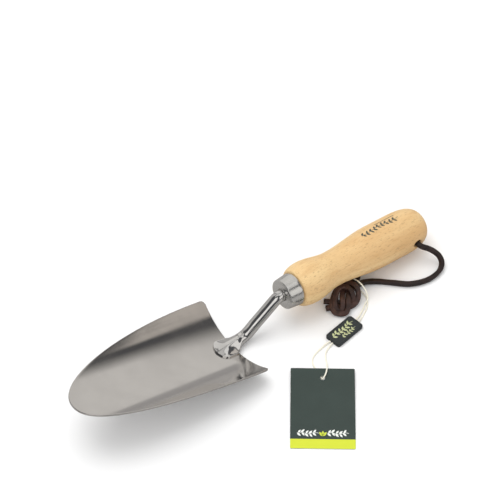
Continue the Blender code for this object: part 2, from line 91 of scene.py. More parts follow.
def smooth_line(route: Sequence[Vector], spacing: float) -> list[Vector]:
    """Read evenly spaced points from a smooth curve through a route.

    Args:
        route: points that the curve passes through.
        spacing: wanted distance between the points that are returned.

    Returns:
        Points from the route's start to its end.
    """
    points = [2 * route[0] - route[1], *route, 2 * route[-1] - route[-2]]
    fine = []
    for before, start, end, after in zip(points, points[1:], points[2:], points[3:]):
        for step in range(24):
            t = step / 24
            fine.append(0.5 * (2 * start + (end - before) * t
                               + (2 * before - 5 * start + 4 * end - after) * t ** 2
                               + (3 * start - before - 3 * end + after) * t ** 3))
    fine.append(points[-2])
    lengths = [0.0]
    for start, end in zip(fine, fine[1:]):
        lengths.append(lengths[-1] + (end - start).length)
    count = max(2, round(lengths[-1] / spacing))
    line, index = [], 0
    for number in range(count + 1):
        wanted = lengths[-1] * number / count
        while index < len(lengths) - 2 and lengths[index + 1] < wanted:
            index += 1
        share = (wanted - lengths[index]) / (lengths[index + 1] - lengths[index])
        line.append(fine[index].lerp(fine[index + 1], min(max(share, 0.0), 1.0)))
    return line


def line_length(line: Sequence[Vector]) -> float:
    """Return the length of a line of points."""
    return sum((end - start).length for start, end in zip(line, line[1:]))


def millimetres(*points: tuple[float, float, float]) -> list[Vector]:
    """Return points given in millimetres as points in metres."""
    return [Vector(point) * MM for point in points]


def smooth_step(share: float) -> float:
    """Return a share from 0 to 1 that leaves and arrives with no slope."""
    share = min(max(share, 0.0), 1.0)
    return share * share * (3 - 2 * share)


def ring(radius: float, steps: int, start: float = 0.0) -> list[tuple[float, float]]:
    """Return the points of a circle in a plane."""
    angles = [start + TURN * step / steps for step in range(steps)]
    return [(radius * math.cos(angle), radius * math.sin(angle)) for angle in angles]


def rounded_rectangle(width: float, height: float, corner: float,
                      steps: int = 6) -> list[tuple[float, float]]:
    """Return the outline of a rectangle with round corners.

    Args:
        width: size along the first axis.
        height: size along the second axis.
        corner: radius of the corners.
        steps: segments in each corner.

    Returns:
        Points, counter-clockwise from the middle of the right side's upper corner.
    """
    outline = []
    for x, y, start in ((1, 1, 0), (-1, 1, 90), (-1, -1, 180), (1, -1, 270)):
        for step in range(steps + 1):
            angle = math.radians(start + 90 * step / steps)
            outline.append((x * (width / 2 - corner) + corner * math.cos(angle),
                            y * (height / 2 - corner) + corner * math.sin(angle)))
    return outline


class Shell:
    """A mesh that is put together from rows of points."""

    def __init__(self) -> None:
        """Start with an empty mesh."""
        self.mesh = bmesh.new()

    def skin(self, loops: Sequence[Loop], closed: bool = False, sides: Sequence[int] = (),
             caps: str = "flat") -> None:
        """Join closed loops of points, one after the other, into one skin.

        Args:
            loops: loops with the same number of points.
            closed: join the last loop to the first, and otherwise close both ends.
            sides: material index of each segment of a loop.
            caps: "flat" for one face at each end, "strip" for a row of faces across a thin end.
        """
        rows = [[self.mesh.verts.new(point) for point in loop] for loop in loops]
        pairs = list(zip(rows, rows[1:])) + ([(rows[-1], rows[0])] if closed else [])
        count = len(rows[0])
        for low, high in pairs:
            for index in range(count):
                after = (index + 1) % count
                face = self.mesh.faces.new((low[index], low[after], high[after], high[index]))
                face.material_index = sides[index] if sides else 0
        if closed:
            return
        for row in (rows[0], rows[-1]):
            if caps == "flat":
                self.mesh.faces.new(row).material_index = max(sides, default=0)
                continue
            for index in range(count // 2 - 1):
                self.mesh.faces.new((row[index], row[index + 1], row[-index - 2], row[-index - 1]))

    def patch(self, rows: Sequence[Loop]) -> None:
        """Join open rows of points into an open sheet.

        Args:
            rows: rows with the same number of points.
        """
        grid = [[self.mesh.verts.new(point) for point in row] for row in rows]
        for low, high in zip(grid, grid[1:]):
            for index in range(len(low) - 1):
                self.mesh.faces.new((low[index], low[index + 1], high[index + 1], high[index]))

    def piece(self, name: str, place: Matrix | None = None, sharp: float = SHARP_ANGLE) -> bpy.types.Object:
        """Turn the mesh into an object of the scene.

        Args:
            name: the piece's name.
            place: its place in the world.
            sharp: edges that bend by more than this, in degrees, stay sharp.

        Returns:
            The new object.
        """
        bmesh.ops.remove_doubles(self.mesh, verts=self.mesh.verts, dist=WELD_DISTANCE)
        bmesh.ops.recalc_face_normals(self.mesh, faces=self.mesh.faces)
        data = bpy.data.meshes.new(name)
        self.mesh.to_mesh(data)
        self.mesh.free()
        data.shade_smooth()
        data.set_sharp_from_angle(angle=math.radians(sharp))
        made = bpy.data.objects.new(name, data)
        bpy.context.scene.collection.objects.link(made)
        if place is not None:
            data.transform(place)
        return made


def frames(line: Sequence[Vector], level: float = 0.0) -> list[tuple[Vector, Vector, Vector]]:
    """Return a point and two cross directions at each point of a line, without sudden twist.

    Args:
        line: points of the line.
        level: how far the first direction is drawn to the horizontal at each point, from 0 to 1.

    Returns:
        (point, across, up) for each point.
    """
    last = len(line) - 1
    tangents = [(line[min(i + 1, last)] - line[max(i - 1, 0)]).normalized() for i in range(last + 1)]
    normal = tangents[0].cross(Vector((0.0, 0.0, 1.0))).normalized()
    made = []
    for point, tangent in zip(line, tangents):
        flat = tangent.cross(Vector((0.0, 0.0, 1.0)))
        flat = flat if flat.dot(normal) > 0 else -flat
        normal = normal + (flat - normal) * level * flat.length
        normal = (normal - tangent * normal.dot(tangent)).normalized()
        made.append((point, normal, tangent.cross(normal)))
    return made


def swept(line: Sequence[Vector],
          section: Callable[[float], Sequence[tuple[float, float]]]) -> list[list[Vector]]:
    """Return the loops of a section that runs along a line.

    Args:
        line: points of the centre line.
        section: gives the section's outline at a share of the line's length.

    Returns:
        One loop of points for each point of the line.
    """
    count = len(line) - 1
    return [[point + across * x + up * y for x, y in section(index / count)]
            for index, (point, across, up) in enumerate(frames(line))]


def turned(profile: Sequence[tuple[float, float]], steps: int) -> list[list[Vector]]:
    """Return the loops of a profile of (radius, station) turned about the X axis."""
    return [[Vector((station, *point)) for point in ring(radius, steps)] for radius, station in profile]


def cut(piece: bpy.types.Object, cutters: Iterable[bpy.types.Object]) -> None:
    """Cut a piece with others, which are then removed.

    Args:
        piece: the piece.
        cutters: the solids that are taken out of it.
    """
    for cutter in list(cutters):
        modifier = piece.modifiers.new(cutter.name, "BOOLEAN")
        modifier.operation = "DIFFERENCE"
        modifier.object = cutter
        bpy.context.view_layer.update()
        evaluated = piece.evaluated_get(bpy.context.evaluated_depsgraph_get())
        data = bpy.data.meshes.new_from_object(evaluated)
        piece.modifiers.clear()
        piece.data = data
        bpy.data.objects.remove(cutter, do_unlink=True)
    piece.data.shade_smooth()
    piece.data.set_sharp_from_angle(angle=math.radians(SHARP_ANGLE))


# Finishes -------------------------------------------------------------------------------


class Graph:
    """A material's node tree, with short methods for the nodes that the finishes share."""

    def __init__(self, name: str, lean: float = 0.0) -> None:
        """Start a material with one Principled shader, for a piece that leans about the Y axis.

        Args:
            name: its name.
            lean: how far the piece leans, in radians.
        """
        self.lean = lean
        self.material = bpy.data.materials.new(name)
        self.material.use_nodes = True
        self.tree = self.material.node_tree
        self.shader = self.tree.nodes["Principled BSDF"]

    def put(self, socket: bpy.types.NodeSocket, value: object) -> None:
        """Link a socket to a value, or set it.

        Args:
            socket: the input.
            value: a value or a socket.
        """
        if isinstance(value, bpy.types.NodeSocket):
            self.tree.links.new(value, socket)
        else:
            socket.default_value = value

    def node(self, kind: str, settings: dict[str, object], inputs: dict[object, object]) -> bpy.types.Node:
        """Add a node.

        Args:
            kind: the node's type.
            settings: its properties.
            inputs: values or sockets for its inputs, by name or index.

        Returns:
            The new node.
        """
        made = self.tree.nodes.new(kind)
        for key, value in settings.items():
            setattr(made, key, value)
        for key, value in inputs.items():
            self.put(made.inputs[key], value)
        return made

    def set(self, **values: object) -> None:
        """Set the shader's inputs; an underscore stands for a space."""
        for key, value in values.items():
            self.put(self.shader.inputs[key.replace("_", " ")], value)

    def place(self, scale: Colour = (1.0, 1.0, 1.0),
              shift: Colour = (0.0, 0.0, 0.0)) -> bpy.types.NodeSocket:
        """Return the object's own coordinates, turned level, scaled and shifted.

        Args:
            scale: its scale.
            shift: its shift.

        Returns:
            The socket of the result.
        """
        vector = self.node("ShaderNodeTexCoord", {}, {}).outputs["Object"]
        if self.lean:
            inputs = {"Vector": vector, "Rotation": (0.0, -self.lean, 0.0)}
            vector = self.node("ShaderNodeMapping", {}, inputs).outputs["Vector"]
        inputs = {"Vector": vector, "Scale": scale, "Location": shift}
        return self.node("ShaderNodeMapping", {}, inputs).outputs["Vector"]

    def noise(self, vector: bpy.types.NodeSocket, scale: float, detail: float = 3.0,
              rough: float = 0.55) -> bpy.types.NodeSocket:
        """Return smooth noise from 0 to 1."""
        inputs = {"Vector": vector, "Scale": scale, "Detail": detail, "Roughness": rough}
        return self.node("ShaderNodeTexNoise", {}, inputs).outputs["Fac"]

    def cells(self, vector: bpy.types.NodeSocket, scale: float) -> bpy.types.NodeSocket:
        """Return the distance in a pattern of cells."""
        inputs = {"Vector": vector, "Scale": scale}
        return self.node("ShaderNodeTexVoronoi", {"feature": "F1"}, inputs).outputs["Distance"]

    def span(self, value: bpy.types.NodeSocket, low: float, high: float, start: float = 0.0,
             end: float = 1.0, soft: bool = True) -> bpy.types.NodeSocket:
        """Map a value from low..high to start..end, and clamp it.

        Args:
            value: what is mapped.
            low: the value that gives the start.
            high: the value that gives the end.
            start: the result at the low end.
            end: the result at the high end.
            soft: ease in and out at both ends.

        Returns:
            The socket of the result.
        """
        settings = {"interpolation_type": "SMOOTHSTEP" if soft else "LINEAR"}
        inputs = {"Value": value, "From Min": low, "From Max": high, "To Min": start, "To Max": end}
        return self.node("ShaderNodeMapRange", settings, inputs).outputs["Result"]

    def mix(self, share: object, first: object, second: object) -> bpy.types.NodeSocket:
        """Mix two colours.

        Args:
            share: share of the second.
            first: the first colour.
            second: the second colour.

        Returns:
            The socket of the result.
        """
        colours = [(*value, 1.0) if isinstance(value, tuple) else value for value in (first, second)]
        settings = {"data_type": "RGBA", "blend_type": "MIX"}
        made = self.node("ShaderNodeMix", settings, {0: share, 6: colours[0], 7: colours[1]})
        return made.outputs[2]

    def maths(self, operation: str, first: object, second: object = 0.0) -> bpy.types.NodeSocket:
        """Return a sum, product or other result of two values."""
        return self.node("ShaderNodeMath", {"operation": operation}, {0: first, 1: second}).outputs[0]

    def along(self, vector: bpy.types.NodeSocket, axis: Sequence[float]) -> bpy.types.NodeSocket:
        """Return how far a point lies along an axis."""
        made = self.node("ShaderNodeVectorMath", {"operation": "DOT_PRODUCT"}, {0: vector, 1: tuple(axis)})
        return made.outputs["Value"]

    def bump(self, height: bpy.types.NodeSocket, depth: float, strength: float = 1.0,
             below: bpy.types.NodeSocket | None = None) -> bpy.types.NodeSocket:
        """Return a normal that is raised by a height times a depth in metres.

        Args:
            height: the height that raises it.
            depth: how high a height of 1 stands, in metres.
            strength: how strong the effect is.
            below: a normal that it adds to.

        Returns:
            The socket of the result.
        """
        inputs = {"Height": height, "Distance": depth, "Strength": strength}
        if below is not None:
            inputs["Normal"] = below
        return self.node("ShaderNodeBump", {}, inputs).outputs["Normal"]


@dataclass(frozen=True)
class SatinSteel:
    """Ground and lightly polished stainless sheet, with its grind along the blade."""

    name: str = "satin_stainless"
    lean: float = math.radians(16.7)
    colour: Colour = (0.64, 0.62, 0.60)
    roughness: float = 0.12

    def make(self) -> bpy.types.Material:
        """Return the material.

        Returns:
            The material.
        """
        graph = Graph(self.name, self.lean)
        grind = graph.noise(graph.place((6.0, 900.0, 900.0)), 1.0, 4.0, 0.65)
        scratch = graph.noise(graph.place((25.0, 2600.0, 2600.0)), 1.0, 2.0)
        cloud = graph.noise(graph.place(), 28.0, 4.0)
        tint = graph.mix(graph.span(cloud, 0.3, 0.7), self.colour,
                         tuple(value * 0.93 for value in self.colour))
        worn = graph.maths("ADD", graph.span(grind, 0.25, 0.75, -0.02, 0.03),
                           graph.span(cloud, 0.35, 0.7, -0.02, 0.04))
        normal = graph.bump(grind, 0.002 * MM)
        graph.set(Base_Color=tint, Metallic=1.0, Roughness=graph.maths("ADD", worn, self.roughness),
                  Normal=graph.bump(scratch, 0.0012 * MM, 1.0, normal))
        return graph.material


@dataclass(frozen=True)
class PolishedSteel:
    """Bright polished steel with hand-polishing ripples and faint wipe marks."""

    name: str
    colour: Colour = (0.76, 0.75, 0.74)
    roughness: float = 0.07
    ripple: float = 0.02

    def make(self) -> bpy.types.Material:
        """Return the material.

        Returns:
            The material.
        """
        graph = Graph(self.name)
        place = graph.place()
        cloud = graph.noise(place, 90.0, 3.0)
        wipe = graph.noise(graph.place((60.0, 420.0, 420.0)), 1.0, 3.0)
        tint = graph.mix(graph.span(cloud, 0.35, 0.75), self.colour,
                         tuple(value * 0.9 for value in self.colour))
        rough = graph.maths("ADD", graph.span(wipe, 0.3, 0.8, 0.0, 0.06), self.roughness)
        normal = graph.bump(graph.noise(place, 160.0, 1.0), self.ripple * MM)
        graph.set(Base_Color=tint, Metallic=1.0, Roughness=rough,
                  Normal=graph.bump(wipe, 0.003 * MM, 1.0, normal))
        return graph.material


@dataclass(frozen=True)
class Beech:
    """Pale turned beech: soft growth bands, short dark flecks along the grain, oiled."""

    name: str = "oiled_beech"
    lean: float = math.radians(5.507695)
    pale: Colour = (0.80, 0.57, 0.28)
    deep: Colour = (0.60, 0.335, 0.125)
    fleck: Colour = (0.34, 0.17, 0.065)

    def make(self) -> bpy.types.Material:
        """Return the material.

        Returns:
            The material.
        """
        graph = Graph(self.name, self.lean)
        drift = graph.noise(graph.place((9.0, 60.0, 60.0)), 1.0, 3.0)
        across = graph.along(graph.place(), (0.0, 0.35, 0.94))
        rings = graph.maths("ADD", graph.maths("MULTIPLY", across, 310.0),
                            graph.maths("MULTIPLY", drift, 9.0))
        bands = graph.span(graph.maths("SINE", rings), -1.0, 1.0)
        fibre = graph.noise(graph.place((30.0, 1500.0, 1500.0)), 1.0, 4.0, 0.7)
        dashes = graph.noise(graph.place((330.0, 2600.0, 2600.0)), 1.0, 1.0, 0.4)
        ray = graph.noise(graph.place((260.0, 950.0, 950.0), (3.0, 7.0, 1.0)), 1.0, 1.0, 0.4)
        figure = graph.noise(graph.place((50.0, 210.0, 210.0), (1.0, 4.0, 6.0)), 1.0, 4.0, 0.6)
        broad = graph.noise(graph.place((11.0, 38.0, 38.0), (5.0, 2.0, 8.0)), 1.0, 3.0)
        wood = graph.mix(graph.maths("MULTIPLY", bands, 0.36), self.pale, self.deep)
        wood = graph.mix(graph.span(broad, 0.4, 0.72, 0.0, 0.5), wood, self.deep)
        wood = graph.mix(graph.span(figure, 0.5, 0.7, 0.0, 0.45), wood, self.deep)
        wood = graph.mix(graph.span(fibre, 0.35, 0.8, 0.0, 0.35), wood, self.deep)
        wood = graph.mix(graph.span(dashes, 0.64, 0.74, 0.0, 0.5), wood, self.fleck)
        wood = graph.mix(graph.span(ray, 0.62, 0.74, 0.0, 0.4), wood, self.fleck)
        height = graph.maths("ADD", fibre, graph.span(dashes, 0.6, 0.75, 0.0, -0.8))
        rough = graph.span(fibre, 0.2, 0.8, 0.42, 0.58)
        graph.set(Base_Color=wood, Roughness=rough, Specular_IOR_Level=0.5,
                  Normal=graph.bump(height, 0.05 * MM), Coat_Weight=0.16, Coat_Roughness=0.3)
        return graph.material


@dataclass(frozen=True)
class Leather:
    """Drum-dyed lace leather: a creased grain side or a fuzzy cut edge."""

    name: str
    dark: Colour
    light: Colour
    roughness: float = 0.5
    fuzz: float = 0.0

    def make(self) -> bpy.types.Material:
        """Return the material.

        Returns:
            The material.
        """
        graph = Graph(self.name)
        place = graph.place()
        pores = graph.cells(place, 1700.0)
        crease = graph.noise(place, 520.0, 4.0, 0.65)
        cloud = graph.noise(place, 130.0, 3.0)
        colour = graph.mix(graph.span(cloud, 0.3, 0.72), self.dark, self.light)
        colour = graph.mix(graph.span(crease, 0.55, 0.8, 0.0, 0.6), colour,
                           tuple(v * 1.9 for v in self.light))
        height = graph.maths("ADD", crease, graph.maths("MULTIPLY", pores, 0.5))
        rough = graph.span(crease, 0.25, 0.8, self.roughness - 0.1, self.roughness + 0.18)
        graph.set(Base_Color=colour, Roughness=rough, Normal=graph.bump(height, 0.16 * MM),
                  Specular_IOR_Level=0.45, Sheen_Weight=self.fuzz, Sheen_Roughness=0.5)
        return graph.material


@dataclass(frozen=True)
class Cotton:
    """Loosely twisted unbleached cotton, fuzzy and slightly uneven in colour."""

    name: str = "cream_cotton"
    pale: Colour = (0.92, 0.89, 0.77)
    deep: Colour = (0.74, 0.69, 0.54)

    def make(self) -> bpy.types.Material:
        """Return the material.

        Returns:
            The material.
        """
        graph = Graph(self.name)
        place = graph.place()
        hairs = graph.noise(place, 5200.0, 4.0, 0.7)
        cloud = graph.noise(place, 260.0, 2.0)
        colour = graph.mix(graph.span(hairs, 0.35, 0.75, 0.0, 0.55), self.pale, self.deep)
        colour = graph.mix(graph.span(cloud, 0.4, 0.75, 0.0, 0.3), colour, self.deep)
        graph.set(Base_Color=colour, Roughness=0.92, Normal=graph.bump(hairs, 0.08 * MM),
                  Specular_IOR_Level=0.2, Sheen_Weight=0.35, Sheen_Roughness=0.6)
        return graph.material


@dataclass(frozen=True)
class MouldedPlastic:
    """Spark-textured black plastic with faint scuffs."""

    name: str = "black_moulded_plastic"
    colour: Colour = (0.018, 0.024, 0.026)

    def make(self) -> bpy.types.Material:
        """Return the material.

        Returns:
            The material.
        """
        graph = Graph(self.name)
        place = graph.place()
        spark = graph.noise(place, 2600.0, 2.0)
        scuff = graph.noise(graph.place((240.0, 1300.0, 900.0)), 1.0, 3.0)
        colour = graph.mix(graph.span(scuff, 0.6, 0.8, 0.0, 0.5), self.colour, (0.06, 0.07, 0.07))
        rough = graph.span(scuff, 0.3, 0.8, 0.3, 0.5)
        graph.set(Base_Color=colour, Roughness=rough, Normal=graph.bump(spark, 0.03 * MM))
        return graph.material


@dataclass(frozen=True)
class PrintedCard:
    """Dark green printed card with a lime band along its lower edge and pale cut edges."""

    name: str
    hole: tuple[float, float, float]
    down: tuple[float, float, float]
    face: tuple[float, float, float]
    band_start: float
    green: Colour = (0.032, 0.048, 0.042)
    lime: Colour = (0.63, 0.69, 0.034)
    core: Colour = (0.30, 0.34, 0.31)

    def make(self) -> bpy.types.Material:
        """Return the material.

        Returns:
            The material.
        """
        graph = Graph(self.name)
        place = graph.place()
        reach = graph.along(graph.place(shift=tuple(-value for value in self.hole)), self.down)
        fibre = graph.noise(place, 1500.0, 4.0, 0.7)
        cloud = graph.noise(place, 45.0, 3.0)
        green = graph.mix(graph.span(cloud, 0.3, 0.75, 0.0, 0.45), self.green,
                          tuple(v * 1.25 for v in self.green))
        green = graph.mix(graph.span(fibre, 0.62, 0.8, 0.0, 0.3), green, self.core)
        lime = graph.mix(graph.span(cloud, 0.35, 0.7, 0.0, 0.5), self.lime, (0.57, 0.66, 0.024))
        band = graph.span(reach, self.band_start - 0.06 * MM, self.band_start + 0.06 * MM)
        colour = graph.mix(band, green, lime)
        normal = graph.node("ShaderNodeTexCoord", {}, {}).outputs["Normal"]
        flat = graph.maths("ABSOLUTE", graph.along(normal, self.face))
        colour = graph.mix(graph.span(flat, 0.5, 0.75, 1.0, 0.0), colour, self.core)
        graph.set(Base_Color=colour, Roughness=graph.span(fibre, 0.3, 0.8, 0.5, 0.66),
                  Normal=graph.bump(fibre, 0.02 * MM), Specular_IOR_Level=0.4)
        return graph.material


@dataclass(frozen=True)
class Ink:
    """Printing ink that lies thinly on what it is printed on."""

    name: str
    colour: Colour
    worn: Colour
    roughness: float = 0.5

    def make(self) -> bpy.types.Material:
        """Return the material.

        Returns:
            The material.
        """
        graph = Graph(self.name)
        speck = graph.noise(graph.place(), 2400.0, 3.0)
        colour = graph.mix(graph.span(speck, 0.55, 0.75, 0.0, 0.55), self.colour, self.worn)
        graph.set(Base_Color=colour, Roughness=self.roughness, Normal=graph.bump(speck, 0.01 * MM))
        return graph.material


@dataclass(frozen=True)
class PaleFloor:
    """A matt white table."""

    name: str = "pale_table"
    colour: Colour = (0.93, 0.93, 0.93)

    def make(self) -> bpy.types.Material:
        """Return the material.

        Returns:
            The material.
        """
        graph = Graph(self.name)
        cloud = graph.noise(graph.place(), 3.0, 2.0)
        colour = graph.mix(graph.span(cloud, 0.3, 0.7, 0.0, 0.2), self.colour,
                           tuple(v * 0.985 for v in self.colour))
        graph.set(Base_Color=colour, Roughness=0.85, Specular_IOR_Level=0.1)
        return graph.material


def dress(piece: bpy.types.Object, *materials: bpy.types.Material) -> None:
    """Give a piece its materials, in the order of their indices.

    Args:
        piece: the piece.
        materials: its materials.
    """
    piece.data.materials.clear()
    for material in materials:
        piece.data.materials.append(material)


def settle(piece: bpy.types.Object, body: Body, slot: str, *nodes: str) -> bpy.types.Object:
    """Make a piece ride on a body and stand for CAD nodes, which are hidden, and log its face count.

    Args:
        piece: the piece, already in its place.
        body: the body that it moves with.
        slot: name of its material slot, logged when no nodes are given.
        nodes: the CAD nodes that it stands for.

    Returns:
        The piece.
    """
    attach(piece, body.value)
    if nodes:
        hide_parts(*nodes)
    log.info("%s: %d faces, for %s", piece.name, len(piece.data.polygons), ", ".join(nodes) or slot)
    return piece


# Prints ---------------------------------------------------------------------------------


@dataclass(frozen=True)
class Sprig:
    """A generic row of leaves on a thin stem, printed on a surface."""

    length: float
    height: float
    leaves: int
    stem: float = 0.28 * MM

    def leaf(self, root: tuple[float, float], angle: float, reach: float) -> list[list[tuple[float, float]]]:
        """Return the rows of one pointed leaf.

        Args:
            root: where the leaf starts.
            angle: its direction, in radians.
            reach: its length.

        Returns:
            Rows of flat points, from the root to the point.
        """
        rows = []
        for step in range(11):
            share = step / 10
            half = 0.24 * reach * math.sin(math.pi * (0.04 + 0.95 * share) ** 0.8) + 0.02 * MM
            row = []
            for side in (-1.0, -0.5, 0.0, 0.5, 1.0):
                x, y = reach * share, half * side
                row.append((root[0] + x * math.cos(angle) - y * math.sin(angle),
                            root[1] + x * math.sin(angle) + y * math.cos(angle)))
            rows.append(row)
        return rows

    def patches(self) -> list[list[list[tuple[float, float]]]]:
        """Return the rows of the stem and of each leaf.

        Returns:
            Rows of flat points, for one patch after another.
        """
        stem = []
        for step in range(25):
            x = self.length * (step / 24 - 0.5)
            y = 0.12 * self.height * math.sin(TURN * 1.5 * step / 24)
            stem.append([(x, y - self.stem / 2), (x, y + self.stem / 2)])
        made = [stem]
        pitch = self.length / (self.leaves + 0.6)
        reach = self.height * 0.62
        for index in range(self.leaves):
            x = (index + 0.15) * pitch - self.length / 2
            wave = 0.12 * self.height * math.sin(TURN * 1.5 * (x / self.length + 0.5))
            side = 1 if index % 2 else -1
            made.append(self.leaf((x, wave + side * 0.04 * self.height), side * math.radians(47), reach))
            made.append(self.leaf((x + pitch * 0.2, wave - side * 0.04 * self.height),
                                  -side * math.radians(56), reach * 0.9))
        return made

    def print_on(self, shell: Shell, surface: Callable[[float, float], Vector],
                 shift: Sequence[float]) -> None:
        """Add the sprig to a shell, laid on a surface and shifted across it."""
        for patch in self.patches():
            shell.patch([[surface(x + shift[0], y + shift[1]) for x, y in row] for row in patch])


def rule(shell: Shell, surface: Callable[[float, float], Vector], start: tuple[float, float],
         length: float, width: float) -> None:
    """Add a thin printed rule that runs along the surface's first axis.

    Args:
        shell: the mesh that it goes into.
        surface: gives the point for two flat coordinates.
        start: its first end.
        length: its length.
        width: its width.
    """
    steps = max(2, round(length / (0.8 * MM)))
    rows = []
    for step in range(steps + 1):
        x = start[0] + length * step / steps
        rows.append([surface(x, start[1]), surface(x, start[1] + width)])
    shell.patch(rows)


# Trowel ---------------------------------------------------------------------------------


@dataclass(frozen=True)
class Layout:
    """Where the blade's heel and the ferrule's front stand, and how each of them leans."""

    heel: tuple[float, float, float] = (-20.397 * MM, 0.0, 1.533 * MM)
    pitch: float = math.radians(16.7)
    ferrule: tuple[float, float, float] = (26.403 * MM, 0.0, 28.8 * MM)
    slope: float = math.radians(5.507695)

    def blade(self) -> Matrix:
        """Return the blade's place: -X forward from the heel, +Z out of the trough."""
        return Matrix.Translation(self.heel) @ Matrix.Rotation(self.pitch, 4, "Y")

    def handle(self) -> Matrix:
        """Return the handle's place: +X from the ferrule's front to the butt."""
        return Matrix.Translation(self.ferrule) @ Matrix.Rotation(self.slope, 4, "Y")


@dataclass
class Blade:
    """The scoop: a sheet bent to one radius, with a pointed round nose and a soft rim."""

    length: float = 151 * MM
    width: float = 83.5 * MM
    thickness: float = 1.6 * MM
    trough: float = 70.8 * MM
    heel_corner: float = 4 * MM
    side_power: float = 2.1
    nose_power: float = 2.25
    rim: float = 0.5 * MM
    across: int = 56
    along: int = 96
    steel: SatinSteel = field(default_factory=SatinSteel)

    def height(self, side: float) -> float:
        """Return the height of the upper face above its middle line."""
        return self.trough - math.sqrt(self.trough ** 2 - side ** 2)

    def half_width(self, forward: float) -> float:
        """Return half the blade's width at a distance from the heel.

        Args:
            forward: distance from the heel.

        Returns:
            The length in metres.
        """
        forward = min(max(forward, 0.0), self.length)
        if forward < self.heel_corner:
            rise = math.sqrt(self.heel_corner ** 2 - (self.heel_corner - forward) ** 2)
            return self.width / 2 - self.heel_corner + rise
        share = forward / self.length
        return self.width / 2 * (1 - share ** self.side_power) ** (1 / self.nose_power)

    def row(self, forward: float) -> list[Vector]:
        """Return the closed section of the sheet at a distance from the heel.

        Args:
            forward: distance from the heel.

        Returns:
            The upper face's points from side to side, then the lower face's points back.
        """
        half, step = self.half_width(forward), 0.05 * MM
        change = (self.half_width(forward + step) - self.half_width(forward - step)) / (2 * step)
        stretch = math.sqrt(1 + change ** 2)
        soft = min(self.rim * stretch, 0.45 * half, 3 * MM)
        inner = half - soft
        sides = [half - soft * share for share in (0.0, 0.12, 0.36, 0.66)]
        middle = [inner * (2 * k / self.across - 1) for k in range(self.across + 1)]
        sides = [-side for side in sides] + middle + sides[::-1]
        upper, lower = [], []
        for side in sides:
            depth = min(forward, (half - abs(side)) / stretch, self.rim)
            drop = self.rim - math.sqrt(max(self.rim ** 2 - (self.rim - depth) ** 2, 0.0))
            under = self.trough - math.sqrt((self.trough + self.thickness) ** 2 - side ** 2)
            upper.append(Vector((-forward, side, self.height(side) - drop)))
            lower.append(Vector((-forward, side, under + drop)))
        return upper + lower[::-1]

    def stations(self) -> list[float]:
        """Return the distances from the heel at which the sheet has a section.

        Returns:
            The distances, in order.
        """
        corner = self.heel_corner
        made = [share * MM for share in (0.0, 0.06, 0.18, 0.34, 0.5, 0.8, 1.2, 1.8, 2.6)]
        start = math.asin(corner / self.length)
        for step in range(self.along + 1):
            angle = start + (math.pi / 2 - start) * step / self.along
            made.append(self.length * math.sin(angle))
        return made

    def build(self, layout: Layout) -> bpy.types.Object:
        """Make the blade.

        Args:
            layout: places of the parts.

        Returns:
            The new piece.
        """
        shell = Shell()
        shell.skin([self.row(forward) for forward in self.stations()], caps="strip")
        piece = shell.piece("blade_sheet", layout.blade(), 60.0)
        dress(piece, self.steel.make())
        return settle(piece, Body.TROWEL, "blade", "blade")


